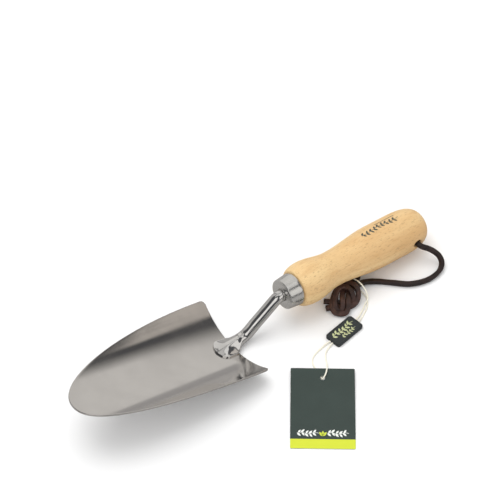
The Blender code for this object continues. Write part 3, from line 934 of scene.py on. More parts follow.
@dataclass
class Neck:
    """The forged bar: a ridged foot on the blade, an S-bend and a tang in the handle."""

    diameter: float = 9.5 * MM
    tang: float = 62 * MM
    tang_tip: float = 6.6 * MM
    shoulder: float = 0.92
    bend_back: float = 11.6 * MM
    bend_lift: float = 1.6 * MM
    bend_before_ferrule: float = 5.6 * MM
    bend_below_axis: float = 1.7 * MM
    foot_length: float = 16.6 * MM
    foot_width: float = 19 * MM
    foot_height: float = 5.6 * MM
    bar_height: float = 8.3 * MM
    ridge_length: float = 8 * MM
    ridge_half: float = 1.3 * MM
    foot_rim: float = 1.3 * MM
    steps: int = 96
    steel: PolishedSteel = field(default_factory=lambda: PolishedSteel("polished_neck_steel"))

    def line(self, layout: Layout) -> list[Vector]:
        """Return the bar's centre line from the ferrule to the foot.

        Args:
            layout: places of the parts.

        Returns:
            The points, in order.
        """
        radius = self.diameter / 2
        heel = Vector(layout.heel)
        low = heel + Vector((self.bend_back, 0.0, self.bend_lift + radius - heel.z))
        high = layout.handle() @ Vector((-self.bend_before_ferrule, 0.0, 0.0))
        high -= Vector((0.0, 0.0, self.bend_below_axis))
        route = [
            layout.handle() @ Vector((4 * MM, 0.0, 0.0)),
            layout.handle() @ Vector((-0.8 * MM, 0.0, 0.0)),
            high,
            high.lerp(low, 0.33),
            high.lerp(low, 0.67),
            low,
            layout.blade() @ Vector((0.0, 0.0, radius * 0.85)),
            layout.blade() @ Vector((-0.5 * self.ridge_length, 0.0, radius * 0.6)),
        ]
        return smooth_line(route, 0.7 * MM)

    def circle(self, point: Vector, tangent: Vector, radius: float) -> list[Vector]:
        """Return the bar's section, counted from the +Y side over the top.

        Args:
            point: the middle of the section.
            tangent: the line's direction.
            radius: its radius.

        Returns:
            The points, in order.
        """
        side = Vector((0.0, 1.0, 0.0))
        up = side.cross(tangent).normalized()
        return [point + side * x + up * y for x, y in ring(radius, self.steps)]

    def half_width(self, forward: float) -> float:
        """Return half the foot's width at a distance from the heel.

        Args:
            forward: distance from the heel.

        Returns:
            The length in metres.
        """
        half = self.foot_width / 2
        straight = self.foot_length - half * 0.72
        if forward < straight:
            return half - 0.6 * MM * (1 - max(forward, 0.0) / straight)
        share = min((forward - straight) / (self.foot_length - straight), 1.0)
        return half * math.sqrt(1 - share ** 2)

    def crown(self, forward: float) -> float:
        """Return the height of the foot's ridge at a distance from the heel.

        Args:
            forward: distance from the heel.

        Returns:
            The length in metres.
        """
        if forward < self.ridge_length:
            rise = self.foot_height - self.bar_height
            return self.bar_height + rise * max(forward, 0.0) / self.ridge_length
        share = (self.foot_length - forward) / (self.foot_length - self.ridge_length)
        return self.foot_rim + (self.foot_height - self.foot_rim) * max(share, 0.0) ** 0.95

    def foot(self, forward: float, blade: Blade) -> list[tuple[float, float]]:
        """Return the foot's section at a distance from the heel.

        Args:
            forward: distance from the heel.
            blade: the sheet that the foot sits on.

        Returns:
            (side, height) points, counted like the bar's section.
        """
        half, crown = self.half_width(forward), self.crown(forward)
        scale = min(1.0, half / (2.5 * MM))
        rim = min(blade.height(half) + self.foot_rim, crown + 0.02 * MM)
        flat = self.ridge_half * min(1.0, half / self.half_width(0.0)) + 1e-6
        inner = half - 0.75 * MM * scale
        soft = 0.5 * MM

        def top(side: float) -> float:
            """Return the roof's height, with a soft ridge.

            Args:
                side: distance from the middle.

            Returns:
                The length in metres.
            """
            share = min(max((inner - abs(side)) / max(inner - flat, 1e-6), 0.0), 1.6)
            slope = rim + (crown + 0.2 * MM - rim) * share ** 1.15
            blend = min(max(0.5 + 0.5 * (slope - crown) / soft, 0.0), 1.0)
            return slope + (crown - slope) * blend - soft * blend * (1 - blend)

        edge = [(half, blade.height(half) + 0.02 * MM), (half, rim - 0.45 * MM),
                (half - 0.13 * MM * scale, rim - 0.14 * MM), (half - 0.42 * MM * scale, rim)]
        middle = []
        quarter = self.steps // 2 - 2 * len(edge)
        for step in range(quarter + 1):
            side = inner * math.cos(math.pi * step / quarter)
            middle.append((side, top(side)))
        points = edge + middle + [(-side, height) for side, height in reversed(edge)]
        for step in range(self.steps // 2 + 1, self.steps):
            side = half * math.cos(TURN * step / self.steps)
            points.append((side, blade.height(side) + 0.02 * MM))
        return points

    def loops(self, layout: Layout, blade: Blade) -> list[list[Vector]]:
        """Return all sections, from the tang's tip to the foot's nose.

        Args:
            layout: places of the parts.
            blade: the blade that it sits on.

        Returns:
            One loop of points for each section.
        """
        loops = []
        along = (layout.handle().to_3x3() @ Vector((-1.0, 0.0, 0.0)))
        for station, width in ((62.0, 0.5), (61.6, 0.86), (60.9, 1.0), (30.0, 1.0), (5.2, 1.0)):
            share = (station * MM - 4 * MM) / (self.tang - 4 * MM)
            factor = self.shoulder + (self.tang_tip / self.diameter - self.shoulder) * share
            point = layout.handle() @ Vector((station * MM, 0.0, 0.0))
            loops.append(self.circle(point, along, self.diameter / 2 * factor * width))
        line = self.line(layout)
        place = layout.blade()
        back = place.inverted()
        for index, point in enumerate(line):
            tangent = line[min(index + 1, len(line) - 1)] - line[max(index - 1, 0)]
            forward = -(back @ point).x
            if forward > 2.5 * MM:
                break
            loop = self.circle(point, tangent, self.diameter / 2)
            share = smooth_step((forward + 6 * MM) / (9 * MM))
            if share > 0:
                foot = self.foot(forward, blade)
                loop = [old.lerp(place @ Vector((-forward, side, height)), share)
                        for old, (side, height) in zip(loop, foot)]
            loops.append(loop)
        straight = self.foot_length - self.foot_width / 2 * 0.72
        stations = [3 * MM + (straight - 3 * MM) * step / 12 for step in range(12)]
        stations += [straight + (self.foot_length - straight) * math.sin(math.pi / 2 * step / 26)
                     for step in range(27)]
        for forward in stations:
            loops.append([place @ Vector((-forward, side, height))
                          for side, height in self.foot(forward, blade)])
        return loops

    def build(self, layout: Layout, blade: Blade) -> bpy.types.Object:
        """Make the neck.

        Args:
            layout: places of the parts.
            blade: the blade that it sits on.

        Returns:
            The new piece.
        """
        shell = Shell()
        shell.skin(self.loops(layout, blade))
        piece = shell.piece("neck_bar", None, 50.0)
        dress(piece, self.steel.make())
        return settle(piece, Body.TROWEL, "neck", "neck")


@dataclass
class Ferrule:
    """The tapered cup between neck and handle, and the pin in its side."""

    length: float = 12 * MM
    front: float = 12 * MM
    rear: float = 13.2 * MM
    wall: float = 1 * MM
    edge: float = 1.2 * MM
    hole: float = 5.05 * MM
    pin: float = 1.3 * MM
    pin_station: float = 7 * MM
    pin_depth: float = 6.5 * MM
    pin_proud: float = 0.25 * MM
    steel: PolishedSteel = field(
        default_factory=lambda: PolishedSteel("polished_ferrule_steel", (0.74, 0.73, 0.71), 0.2, 0.02))
    pin_steel: PolishedSteel = field(
        default_factory=lambda: PolishedSteel("dull_pin_steel", (0.5, 0.49, 0.47), 0.28, 0.01))

    def radius(self, station: float) -> float:
        """Return the outer radius at a distance from the front."""
        return self.front + (self.rear - self.front) * station / self.length

    def build_cup(self, layout: Layout) -> bpy.types.Object:
        """Make the cup.

        Args:
            layout: places of the parts.

        Returns:
            The new piece.
        """
        length, rear, wall = self.length, self.rear, self.wall
        profile = [(rear - wall, length), (rear - 0.22 * MM, length), (rear - 0.06 * MM, length - 0.07 * MM),
                   (rear - 0.01 * MM, length - 0.22 * MM)]
        for share in (0.8, 0.6, 0.4, 0.2):
            station = self.edge + (length - self.edge) * share
            profile.append((self.radius(station), station))
        for step in range(9):
            angle = math.radians(-90 * step / 8)
            profile.append((self.front + 0.1 * MM + self.edge * (math.cos(angle) - 1),
                            self.edge * (1 + math.sin(angle))))
        profile += [(self.front * 0.72, 0.0), (self.hole + 0.3 * MM, 0.0),
                    (self.hole + 0.09 * MM, 0.09 * MM),
                    (self.hole, 0.3 * MM), (self.hole, wall), (self.front - wall, wall)]
        shell = Shell()
        shell.skin(turned(profile, 96), closed=True)
        piece = shell.piece("ferrule_cup", layout.handle(), 50.0)
        dress(piece, self.steel.make())
        return settle(piece, Body.TROWEL, "ferrule", "ferrule")

    def build_pin(self, layout: Layout) -> bpy.types.Object:
        """Make the pin, with a domed head.

        Args:
            layout: places of the parts.

        Returns:
            The new piece.
        """
        surface = self.radius(self.pin_station)
        top = surface + self.pin_proud
        profile = [(self.pin * 0.7, surface - self.pin_depth),
                   (self.pin, surface - self.pin_depth + 0.4 * MM)]
        for step in range(9):
            angle = math.radians(86 * step / 8)
            profile.append((self.pin * math.cos(angle), top - 0.42 * MM * (1 - math.sin(angle))))
        loops = [[Vector((self.pin_station + x, -distance, y)) for x, y in ring(radius, 40)]
                 for radius, distance in profile]
        shell = Shell()
        shell.skin(loops)
        piece = shell.piece("ferrule_pin_head", layout.handle(), 40.0)
        dress(piece, self.pin_steel.make())
        return settle(piece, Body.TROWEL, "ferrule_pin", "ferrule_pin")


@dataclass
class Handle:
    """The turned grip with its nose, blind bore, cross hole and printed sprig."""

    start: float = 12.3 * MM
    end: float = 139.2 * MM
    lip: float = 13.7 * MM
    shoulder: tuple[float, float] = (24 * MM, 17.2 * MM)
    waist: tuple[float, float] = (49 * MM, 13.95 * MM)
    belly: tuple[float, float] = (92 * MM, 17.5 * MM)
    dome_start: float = 110 * MM
    dome_power: float = 3.2
    butt: float = 5.5 * MM
    bore: float = 5.05 * MM
    hole: float = 3.2 * MM
    hole_from_end: float = 16.5 * MM
    print_station: float = 97.5 * MM
    print_angle: float = math.radians(80)
    steps: int = 112
    wood: Beech = field(default_factory=Beech)
    ink: Ink = field(default_factory=lambda: Ink("green_stamp_ink", (0.05, 0.06, 0.045), (0.33, 0.24, 0.13)))

    def radius(self, station: float) -> float:
        """Return the grip's radius at a station.

        Args:
            station: distance along the grip.

        Returns:
            The length in metres.
        """
        if station < self.shoulder[0]:
            share = (self.shoulder[0] - station) / (self.shoulder[0] - self.start)
            return self.lip + (self.shoulder[1] - self.lip) * math.sqrt(max(1 - share ** 2, 0.0))
        for low, high in ((self.shoulder, self.waist), (self.waist, self.belly)):
            if station < high[0]:
                share = (station - low[0]) / (high[0] - low[0])
                return low[1] + (high[1] - low[1]) * (1 - math.cos(math.pi * share)) / 2
        if station < self.dome_start:
            return self.belly[1]
        share = (station - self.dome_start) / self.dome()
        return self.belly[1] * max(1 - share ** self.dome_power, 0.0) ** (1 / self.dome_power)

    def dome(self) -> float:
        """Return the length that the dome would have without its flat butt."""
        share = (1 - (self.butt / self.belly[1]) ** self.dome_power) ** (1 / self.dome_power)
        return (self.end - self.dome_start) / share

    def profile(self, ferrule: Ferrule) -> list[tuple[float, float]]:
        """Return the grip's profile from the bore's end over the outside to the butt.

        Args:
            ferrule: the ferrule on its nose.

        Returns:
            The points, in order.
        """
        nose = [ferrule.radius(station) - ferrule.wall - 0.3 * MM for station in (1.3 * MM, self.start)]
        made = [(0.02 * MM, 63 * MM), (3.9 * MM, 63 * MM), (self.bore, 4 * MM), (self.bore, 1.3 * MM),
                (nose[0] - 0.4 * MM, 1.3 * MM), (nose[0], 1.7 * MM), (nose[1], self.start),
                (self.lip - 0.5 * MM, self.start), (self.lip - 0.15 * MM, self.start + 0.04 * MM)]
        stations = [self.start + step * MM for step in (0.16, 0.3, 0.5, 0.8, 1.2, 1.7, 2.3, 3.0, 3.8, 4.8)]
        count = 118
        stations += [17.9 * MM + (self.dome_start - 17.9 * MM) * step / count for step in range(count)]
        length = self.end - self.dome_start
        stations += [self.dome_start + length * math.sin(math.pi / 2 * step / 34) for step in range(34)]
        made += [(self.radius(station), station) for station in stations]
        return made + [(self.butt, self.end - 0.06 * MM), (self.butt - 0.6 * MM, self.end),
                       (0.02 * MM, self.end)]

    def drill(self) -> bpy.types.Object:
        """Return the cutter of the cross hole, flared where it meets the surface.

        Returns:
            The new piece.
        """
        surface = self.radius(self.end - self.hole_from_end)
        profile = []
        for share in (1.0, 0.8, 0.6, 0.4, 0.2, 0.0):
            flare = 1.5 * MM * (1 - math.sqrt(1 - share ** 2))
            profile.append((self.hole + flare, surface - 2.1 * MM + 2.1 * MM * share))
        profile.insert(0, (profile[0][0] + 0.4 * MM, surface + 3 * MM))
        profile = [(radius, -distance) for radius, distance in profile] + list(reversed(profile))
        centre = self.end - self.hole_from_end
        shell = Shell()
        shell.skin([[Vector((centre + x, distance, y)) for x, y in ring(radius, 56)]
                    for radius, distance in profile])
        return shell.piece("hole_cutter")

    def build(self, layout: Layout, ferrule: Ferrule) -> bpy.types.Object:
        """Make the grip.

        Args:
            layout: places of the parts.
            ferrule: the ferrule on its nose.

        Returns:
            The new piece.
        """
        shell = Shell()
        shell.skin(turned(self.profile(ferrule), self.steps))
        piece = shell.piece("handle_grip", None, 35.0)
        cut(piece, [self.drill()])
        piece.data.transform(layout.handle())
        dress(piece, self.wood.make())
        return settle(piece, Body.TROWEL, "handle", "handle")

    def build_print(self, layout: Layout) -> bpy.types.Object:
        """Make the printed sprig on the upper side.

        Args:
            layout: places of the parts.

        Returns:
            The new piece.
        """

        def surface(x: float, y: float) -> Vector:
            """Return a point just above the wood.

            Args:
                x: the first flat coordinate.
                y: the second flat coordinate.

            Returns:
                The point.
            """
            station = self.print_station + x
            radius = self.radius(station) + 0.045 * MM
            angle = self.print_angle + y / radius
            return Vector((station, radius * math.cos(angle), radius * math.sin(angle)))

        shell = Shell()
        Sprig(36.5 * MM, 5.6 * MM, 9, 0.4 * MM).print_on(shell, surface, (0.0, 0.0))
        rule(shell, surface, (-2.0 * MM, -4.5 * MM), 19 * MM, 0.6 * MM)
        piece = shell.piece("handle_stamp", layout.handle())
        dress(piece, self.ink.make())
        return settle(piece, Body.TROWEL, "handle")


# Thong, strings, seal and tag -----------------------------------------------------------


THONG_ROUTE = millimetres(
    (89.9, -8.4, 5.2), (94.6, -8.3, 4.5), (98.6, -4.8, 3.2), (101.8, 1.4, 2.4), (106.4, 9.4, 2.3),
    (115, 17.6, 2.3), (126, 22.3, 2.3), (135.5, 24.1, 3), (142.6, 23.6, 5.6), (145.8, 22.8, 9.6),
    (147.9, 20.9, 13.4), (148.3, 18.8, 16.3), (148.4, 14.5, 16.9), (148.4, -8, 16.9),
    (148.4, -16.6, 16.9), (149.9, -21, 16.3), (153.3, -23.6, 14.3), (157, -26.4, 10.9),
    (159.6, -30.8, 6.8), (157.7, -36, 3.6), (150.4, -39.8, 2.3), (138.6, -40.3, 2.3),
    (126, -35.4, 2.3), (116, -26.2, 2.3), (107.8, -18.4, 2.4), (99.8, -13.9, 3.6), (94, -13.2, 5),
    (89.9, -13.2, 5.4),
)
SEAL_LOOP_ROUTE = millimetres(
    (70.2, -36.9, 1.5), (75, -35.2, 1.2), (80.5, -32.3, 0.9), (86, -28.9, 1.2), (90.3, -26.6, 3.4),
    (91.6, -22.5, 7.2), (90.9, -18.3, 10.8), (90.7, -13.5, 11), (91, -9.4, 8.9), (90.9, -5.8, 6.9),
    (90.9, -4.5, 4.3), (91, -5, 2.1), (91.3, -7, 0.9), (91.7, -10, 0.65), (92, -14, 0.65),
    (92.1, -18.8, 0.65), (91.2, -24.2, 0.65), (88.2, -29.4, 0.65), (83.4, -33.4, 0.65),
    (77.6, -36.6, 0.8), (73.4, -38.6, 1.3), (70.6, -39.2, 1.5),
)
TAG_LOOP_ROUTE = millimetres(
    (42.1, -43.5, 1.5), (39.4, -44.2, 1.3), (34, -46.4, 1.2), (29.4, -50.4, 2), (26.4, -55.2, 3.1),
    (23.4, -60, 3.45), (19.9, -63.3, 3.5), (17.2, -65.2, 3.6), (15.2, -65.9, 2.9),
    (14.6, -65.6, 1.6), (14.8, -64.2, 0.75), (15.7, -60.2, 0.65), (16.8, -53.6, 0.65),
    (18.8, -48, 0.7), (23.2, -44.2, 0.8), (30.4, -42.2, 1), (37.6, -41.2, 1.3), (41.8, -41, 1.5),
)
OUTER_STRAND = (
    (4.75, 15, 5.2), (1.2, 11.5, 5), (-1.8, 7, 5.4), (-3.2, 2.5, 6.6), (-3.5, -2, 7.4), (-3.4, -6.5, 7.2),
    (-3.6, -10, 4.6), (-5.2, -11.6, 2.4), (-8, -10.4, 3.2), (-9.2, -6.4, 5.6), (-8.8, -1.5, 7.4),
    (-7.6, 2.4, 8.9), (-5.6, 5, 9.5), (-2.6, 6.4, 9.6), (0.6, 5.6, 9.6), (3, 3, 9.2), (4.4, -0.4, 7.8),
    (4.6, -2.8, 5.2), (3, -3.8, 2.8), (-1, -3.4, 2.1), (-6, -2.8, 2.1), (-11, -2.5, 2.4), (-17.8, -2.4, 3),
)
INNER_STRAND = (
    (7.7, 11.2, 5.4), (4.6, 8.4, 5), (2.4, 5, 5.6), (1.2, 1.5, 6.8), (0.9, -3, 7.4), (0.9, -8, 6.6),
    (0.6, -11.4, 4.2), (-1.4, -13.6, 2.3), (-5.4, -14.2, 2.2), (-9.6, -12.6, 2.3), (-11.6, -8.6, 3.4),
    (-11.2, -3.4, 4.8), (-9.8, 1.8, 5.6), (-7.6, 6.6, 6.2), (-4.6, 9.8, 7.2), (-0.6, 11, 8),
    (3.4, 10.6, 8.8), (7, 7.8, 8.9), (8.8, 3.6, 7.2), (8.6, -0.8, 5), (6.4, -4.6, 3.2), (2, -7, 2.1),
    (-4, -7.6, 2.1), (-10, -7.8, 2.3), (-16.2, -9, 2.5),
)


@dataclass(frozen=True)
class Lace:
    """A square-cut leather lace: grain above and below, raw red edges at its sides."""

    width: float = 3.75 * MM
    height: float = 3.6 * MM
    corner: float = 0.75 * MM
    waver: float = 0.035

    def outline(self, share: float) -> list[tuple[float, float]]:
        """Return the lace's outline at a share of its length.

        Args:
            share: share of the lace's length.

        Returns:
            The points, in order.
        """
        wide = 1 + self.waver * math.sin(61.0 * share + 1.3) * math.sin(23.0 * share)
        thick = 1 + self.waver * math.sin(47.0 * share + 0.4)
        return rounded_rectangle(self.width * wide, self.height * thick, self.corner, 4)

    def sides(self) -> list[int]:
        """Return the material index of each segment of the outline.

        Returns:
            One index for each segment.
        """
        points = self.outline(0.0)
        found = []
        for (x, y), (after_x, after_y) in zip(points, points[1:] + points[:1]):
            middle_x, middle_y = abs(x + after_x) / self.width, abs(y + after_y) / self.height
            found.append(Side.CUT.value if middle_x > 0.97 and middle_y < 0.9 else Side.GRAIN.value)
        return found

    def lay(self, shell: Shell, line: Sequence[Vector], level: float) -> None:
        """Add the lace along a line.

        Args:
            shell: the mesh that it is added to.
            line: its centre line.
            level: how firmly it is kept level, from 0 to 1 at each point.
        """
        loops, count = [], len(line) - 1
        for index, (point, across, up) in enumerate(frames(line, level)):
            loops.append([point + across * x + up * y for x, y in self.outline(index / count)])
        shell.skin(loops, sides=self.sides())


@dataclass
class Thong:
    """The hanging thong and its knot."""

    diameter: float = 4 * MM
    length: float = 223.7 * MM
    centre: tuple[float, float] = (77 * MM, -17.4 * MM)
    lace: Lace = field(default_factory=Lace)
    knot_lace: Lace = field(default_factory=lambda: Lace(4.0 * MM, 3.5 * MM, 0.8 * MM))
    grain: Leather = field(default_factory=lambda: Leather(
        "dark_lace_grain", (0.010, 0.006, 0.005), (0.028, 0.014, 0.012), 0.42))
    raw: Leather = field(default_factory=lambda: Leather(
        "raw_lace_edge", (0.070, 0.016, 0.015), (0.145, 0.038, 0.034), 0.7, 0.2))
    knot_grain: Leather = field(default_factory=lambda: Leather(
        "knot_lace_grain", (0.024, 0.011, 0.009), (0.080, 0.036, 0.026), 0.4))

    def build_loop(self) -> bpy.types.Object:
        """Make the thong.

        Returns:
            The new piece.
        """
        shell = Shell()
        self.lace.lay(shell, smooth_line(THONG_ROUTE, 0.7 * MM), 0.05)
        piece = shell.piece("thong_lace", None, 50.0)
        dress(piece, self.grain.make(), self.raw.make())
        return settle(piece, Body.TROWEL, "thong", "thong")

    def strand(self, route: Sequence[tuple[float, float, float]]) -> list[Vector]:
        """Return a strand's centre line in the world, from its run, cross and height values.

        Args:
            route: points of (run, cross, height).

        Returns:
            The points, in order.
        """
        points = []
        for run, cross, height in route:
            points.append(Vector((self.centre[0] + (0.793 * run + 0.61 * cross) * MM,
                                  self.centre[1] + (-0.609 * run + 0.79 * cross) * MM, height * MM)))
        return smooth_line(points, 0.6 * MM)

    def build_knot(self) -> bpy.types.Object:
        """Make the knot and its two tails.

        Returns:
            The new piece.
        """
        shell = Shell()
        for route in (OUTER_STRAND, INNER_STRAND):
            self.knot_lace.lay(shell, self.strand(route), 0.04)
        piece = shell.piece("thong_overhand_knot", None, 50.0)
        dress(piece, self.knot_grain.make(), self.raw.make())
        return settle(piece, Body.TROWEL, "thong_knot", "thong_knot")

    def declare(self, loop: bpy.types.Object, knot: bpy.types.Object) -> None:
        """Args:
            loop: the cord's piece; not used.
            knot: the knot's piece; not used.
        """


@dataclass(frozen=True)
class TwistedString:
    """Three-ply string: each ply winds round the centre line."""

    diameter: float = 1.2 * MM
    ply: float = 0.32 * MM
    offset: float = 0.29 * MM
    pitch: float = 3.3 * MM
    plies: int = 3

    def build(self, name: str, route: Sequence[Vector]) -> bpy.types.Object:
        """Make the string along a route.

        Args:
            name: the piece's name.
            route: points of its centre line.

        Returns:
            The new object, in world coordinates.
        """
        line = smooth_line(route, 0.28 * MM)
        length = line_length(line)
        shell = Shell()
        for number in range(self.plies):
            centres = []
            for index, (point, across, up) in enumerate(frames(line)):
                run = length * index / (len(line) - 1)
                angle = TURN * (run / self.pitch + number / self.plies)
                centres.append(point + (across * math.cos(angle) + up * math.sin(angle)) * self.offset)
            shell.skin(swept(centres, lambda share: ring(self.ply, 9)))
        return shell.piece(name, None, 80.0)


@dataclass
class StringSeal:
    """The moulded seal, its print, and the string that ties it to the thong."""

    centre: tuple[float, float, float] = (56.2 * MM, -40.3 * MM, 1.5 * MM)
    size: tuple[float, float, float] = (28 * MM, 14.4 * MM, 3 * MM)
    corner: float = 2.2 * MM
    heading: float = math.radians(8.1)
    loop_length: float = 99.8 * MM
    string: TwistedString = field(default_factory=TwistedString)
    plastic: MouldedPlastic = field(default_factory=MouldedPlastic)
    cotton: Cotton = field(default_factory=Cotton)
    ink: Ink = field(default_factory=lambda: Ink("pale_lime_ink", (0.56, 0.60, 0.32), (0.16, 0.18, 0.12)))

    def place(self) -> Matrix:
        """Return the seal's place."""
        return Matrix.Translation(self.centre) @ Matrix.Rotation(self.heading, 4, "Z")

    def outline(self, inset: float, height: float) -> list[Vector]:
        """Return the outline at a height, moved inwards.

        Args:
            inset: how far it is moved inwards.
            height: its height.

        Returns:
            The points, in order.
        """
        corner = max(self.corner - inset, 0.3 * MM)
        flat = rounded_rectangle(self.size[0] - 2 * inset, self.size[1] - 2 * inset, corner, 8)
        return [Vector((x, y, height)) for x, y in flat]

    def build(self) -> bpy.types.Object:
        """Make the seal: two shallow shells with a seam between them and a raised border.

        Returns:
            The new piece.
        """
        top = self.size[2] / 2
        half = [(0.0, 0.07 * MM), (0.0, top - 0.5 * MM), (0.07 * MM, top - 0.24 * MM),
                (0.24 * MM, top - 0.07 * MM), (0.5 * MM, top), (0.95 * MM, top),
                (1.08 * MM, top - 0.05 * MM), (1.25 * MM, top - 0.26 * MM)]
        loops = [self.outline(inset, -height) for inset, height in reversed(half)]
        loops.append(self.outline(0.12 * MM, 0.0))
        loops += [self.outline(inset, height) for inset, height in half]
        shell = Shell()
        shell.skin(loops)
        piece = shell.piece("seal_body", self.place(), 30.0)
        dress(piece, self.plastic.make())
        return settle(piece, Body.TROWEL, "string_seal", "string_seal")

    def build_print(self) -> bpy.types.Object:
        """Make the seal's printed sprigs.

        Returns:
            The new piece.
        """
        level = self.size[2] / 2 - 0.24 * MM

        def surface(x: float, y: float) -> Vector:
            """Return a point just above the seal's panel."""
            return Vector((x, y, level))

        shell = Shell()
        Sprig(22 * MM, 5.6 * MM, 6, 0.4 * MM).print_on(shell, surface, (0.0, 1.7 * MM))
        Sprig(14 * MM, 3.6 * MM, 5, 0.3 * MM).print_on(shell, surface, (1.5 * MM, -3.4 * MM))
        piece = shell.piece("seal_print", self.place())
        dress(piece, self.ink.make())
        return settle(piece, Body.TROWEL, "string_seal")

    def build_loop(self) -> bpy.types.Object:
        """Make the string through the thong.

        Returns:
            The new piece.
        """
        piece = self.string.build("seal_string", SEAL_LOOP_ROUTE)
        dress(piece, self.cotton.make())
        return settle(piece, Body.TROWEL, "seal_loop", "seal_loop")

    def declare(self, loop: bpy.types.Object, seal: bpy.types.Object) -> None:
        """Args:
            loop: the cord's piece; not used.
            seal: the seal's piece; not used.
        """


@dataclass
class SwingTag:
    """The card on its string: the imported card's finish, its prints and the string."""

    hole: tuple[float, float, float] = (14.9 * MM, -65.3 * MM, 1.97 * MM)
    size: tuple[float, float, float] = (48.4 * MM, 72.6 * MM, 0.6 * MM)
    hole_drop: float = 8.8 * MM
    heading: float = math.radians(-38.5)
    tilt: float = math.radians(1.5)
    band: float = 8.4 * MM
    loop_length: float = 81.5 * MM
    string: TwistedString = field(default_factory=TwistedString)
    cotton: Cotton = field(default_factory=lambda: Cotton("cream_cotton_of_tag"))
    ink: Ink = field(default_factory=lambda: Ink("white_card_ink", (0.80, 0.82, 0.78), (0.42, 0.47, 0.43)))
    lime_ink: Ink = field(default_factory=lambda: Ink("lime_card_ink", (0.60, 0.68, 0.05), (0.2, 0.25, 0.1)))

    def place(self) -> Matrix:
        """Return the card's place: +X across, +Y to its upper edge, from the hole."""
        turn = Matrix.Rotation(self.heading, 4, "Z") @ Matrix.Rotation(self.tilt, 4, "X")
        return Matrix.Translation(self.hole) @ turn

    def dress_card(self, card: bpy.types.Object) -> None:
        """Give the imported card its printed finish.

        Args:
            card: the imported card.
        """
        turn = self.place().to_3x3()
        finish = PrintedCard("printed_card", self.hole, tuple(turn @ Vector((0.0, -1.0, 0.0))),
                             tuple(turn @ Vector((0.0, 0.0, 1.0))),
                             self.size[1] - self.hole_drop - self.band)
        dress(card, finish.make())
        log.info("%s: packed card, %d faces", card.name, len(card.data.polygons))

    def build_print(self) -> bpy.types.Object:
        """Make the two white sprigs above the band.

        Returns:
            The new piece.
        """
        level = self.size[2] / 2 + 0.02 * MM
        line = self.hole_drop - self.size[1] + self.band + 5.2 * MM

        def surface(x: float, y: float) -> Vector:
            """Return a point just above the card."""
            return Vector((x, y, level))

        shell = Shell()
        for shift in (-11.2 * MM, 11.2 * MM):
            Sprig(16.0 * MM, 5.6 * MM, 5, 0.36 * MM).print_on(shell, surface, (shift, line))
        piece = shell.piece("card_print", self.place())
        dress(piece, self.ink.make())
        return settle(piece, Body.TAG, "swing_tag")

    def build_mark(self) -> bpy.types.Object:
        """Make the lime leaf between the two sprigs.

        Returns:
            The new piece.
        """
        level = self.size[2] / 2 + 0.02 * MM
        line = self.hole_drop - self.size[1] + self.band + 5.2 * MM
        shell = Shell()
        for angle in (50.0, 130.0, 90.0):
            leaf = Sprig(1.0, 1.0, 0).leaf((0.0, line - 2.3 * MM), math.radians(angle), 4.4 * MM)
            shell.patch([[Vector((x, y, level)) for x, y in row] for row in leaf])
        piece = shell.piece("card_mark", self.place())
        dress(piece, self.lime_ink.make())
        return settle(piece, Body.TAG, "swing_tag")

    def build_loop(self) -> bpy.types.Object:
        """Make the string through the card's hole.

        Returns:
            The new piece.
        """
        piece = self.string.build("tag_string", TAG_LOOP_ROUTE)
        dress(piece, self.cotton.make())
        return settle(piece, Body.TROWEL, "tag_loop", "tag_loop")

    def declare(self, loop: bpy.types.Object, card: bpy.types.Object) -> None:
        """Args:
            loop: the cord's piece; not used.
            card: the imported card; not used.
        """


# Studio ---------------------------------------------------------------------------------


def stage_material(name: str, kind: str, colour: Colour, strength: float = 1.0) -> bpy.types.Material:
    """Return a plain glow, or a plain filter, for things of the studio.

    Args:
        name: the material's name.
        kind: type of its one shader.
        colour: its colour.
        strength: brightness of a glow.

    Returns:
        The material.
    """
    material = bpy.data.materials.new(name)
    material.use_nodes = True
    nodes = material.node_tree.nodes
    nodes.clear()
    shader = nodes.new(kind)
    shader.inputs["Color"].default_value = (*colour, 1.0)
    if "Strength" in shader.inputs:
        shader.inputs["Strength"].default_value = strength
    out = nodes.new("ShaderNodeOutputMaterial")
    material.node_tree.links.new(shader.outputs[0], out.inputs["Surface"])
    return material


def only_reflected(piece: bpy.types.Object) -> None:
    """Let nothing but reflections see a piece.

    Args:
        piece: the piece.
    """
    piece.visible_camera = False
    piece.visible_diffuse = False
    piece.visible_shadow = False
    piece.visible_transmission = False


@dataclass(frozen=True)
class Panel:
    """A panel round the trowel that only its reflections see.

    Its left and right edges are runs of (azimuth, elevation) points, in degrees.
    """

    name: str
    distance: float
    left: tuple[tuple[float, float], ...]
    right: tuple[tuple[float, float], ...]
    colour: Colour
    columns: int = 6

    def build(self, aim: Vector) -> bpy.types.Object:
        """Make the panel on a sphere about a point.

        Args:
            aim: the middle of the sphere.

        Returns:
            The new piece.
        """
        rows = []
        for low, high in zip(self.left, self.right):
            row = []
            for column in range(self.columns + 1):
                share = column / self.columns
                turn = math.radians(low[0] + (high[0] - low[0]) * share)
                rise = math.radians(low[1] + (high[1] - low[1]) * share)
                away = Vector((math.cos(rise) * math.cos(turn), math.cos(rise) * math.sin(turn),
                               math.sin(rise)))
                row.append(aim + away * self.distance)
            rows.append(row)
        shell = Shell()
        shell.patch(rows)
        piece = shell.piece(self.name)
        dress(piece, stage_material(self.name, "ShaderNodeEmission", self.colour, 1.0))
        only_reflected(piece)
        return piece


def upright(name: str, distance: float, low: tuple[float, float], high: tuple[float, float],
            colour: Colour) -> Panel:
    """Return a panel between two azimuths and two elevations.

    Args:
        name: its name.
        distance: its distance from the trowel.
        low: azimuth and elevation of one corner.
        high: azimuth and elevation of the other.
        colour: its colour.

    Returns:
        The panel.
    """
    left = ((low[0], low[1]), (low[0], high[1]))
    right = ((high[0], low[1]), (high[0], high[1]))
    return Panel(name, distance, left, right, colour)


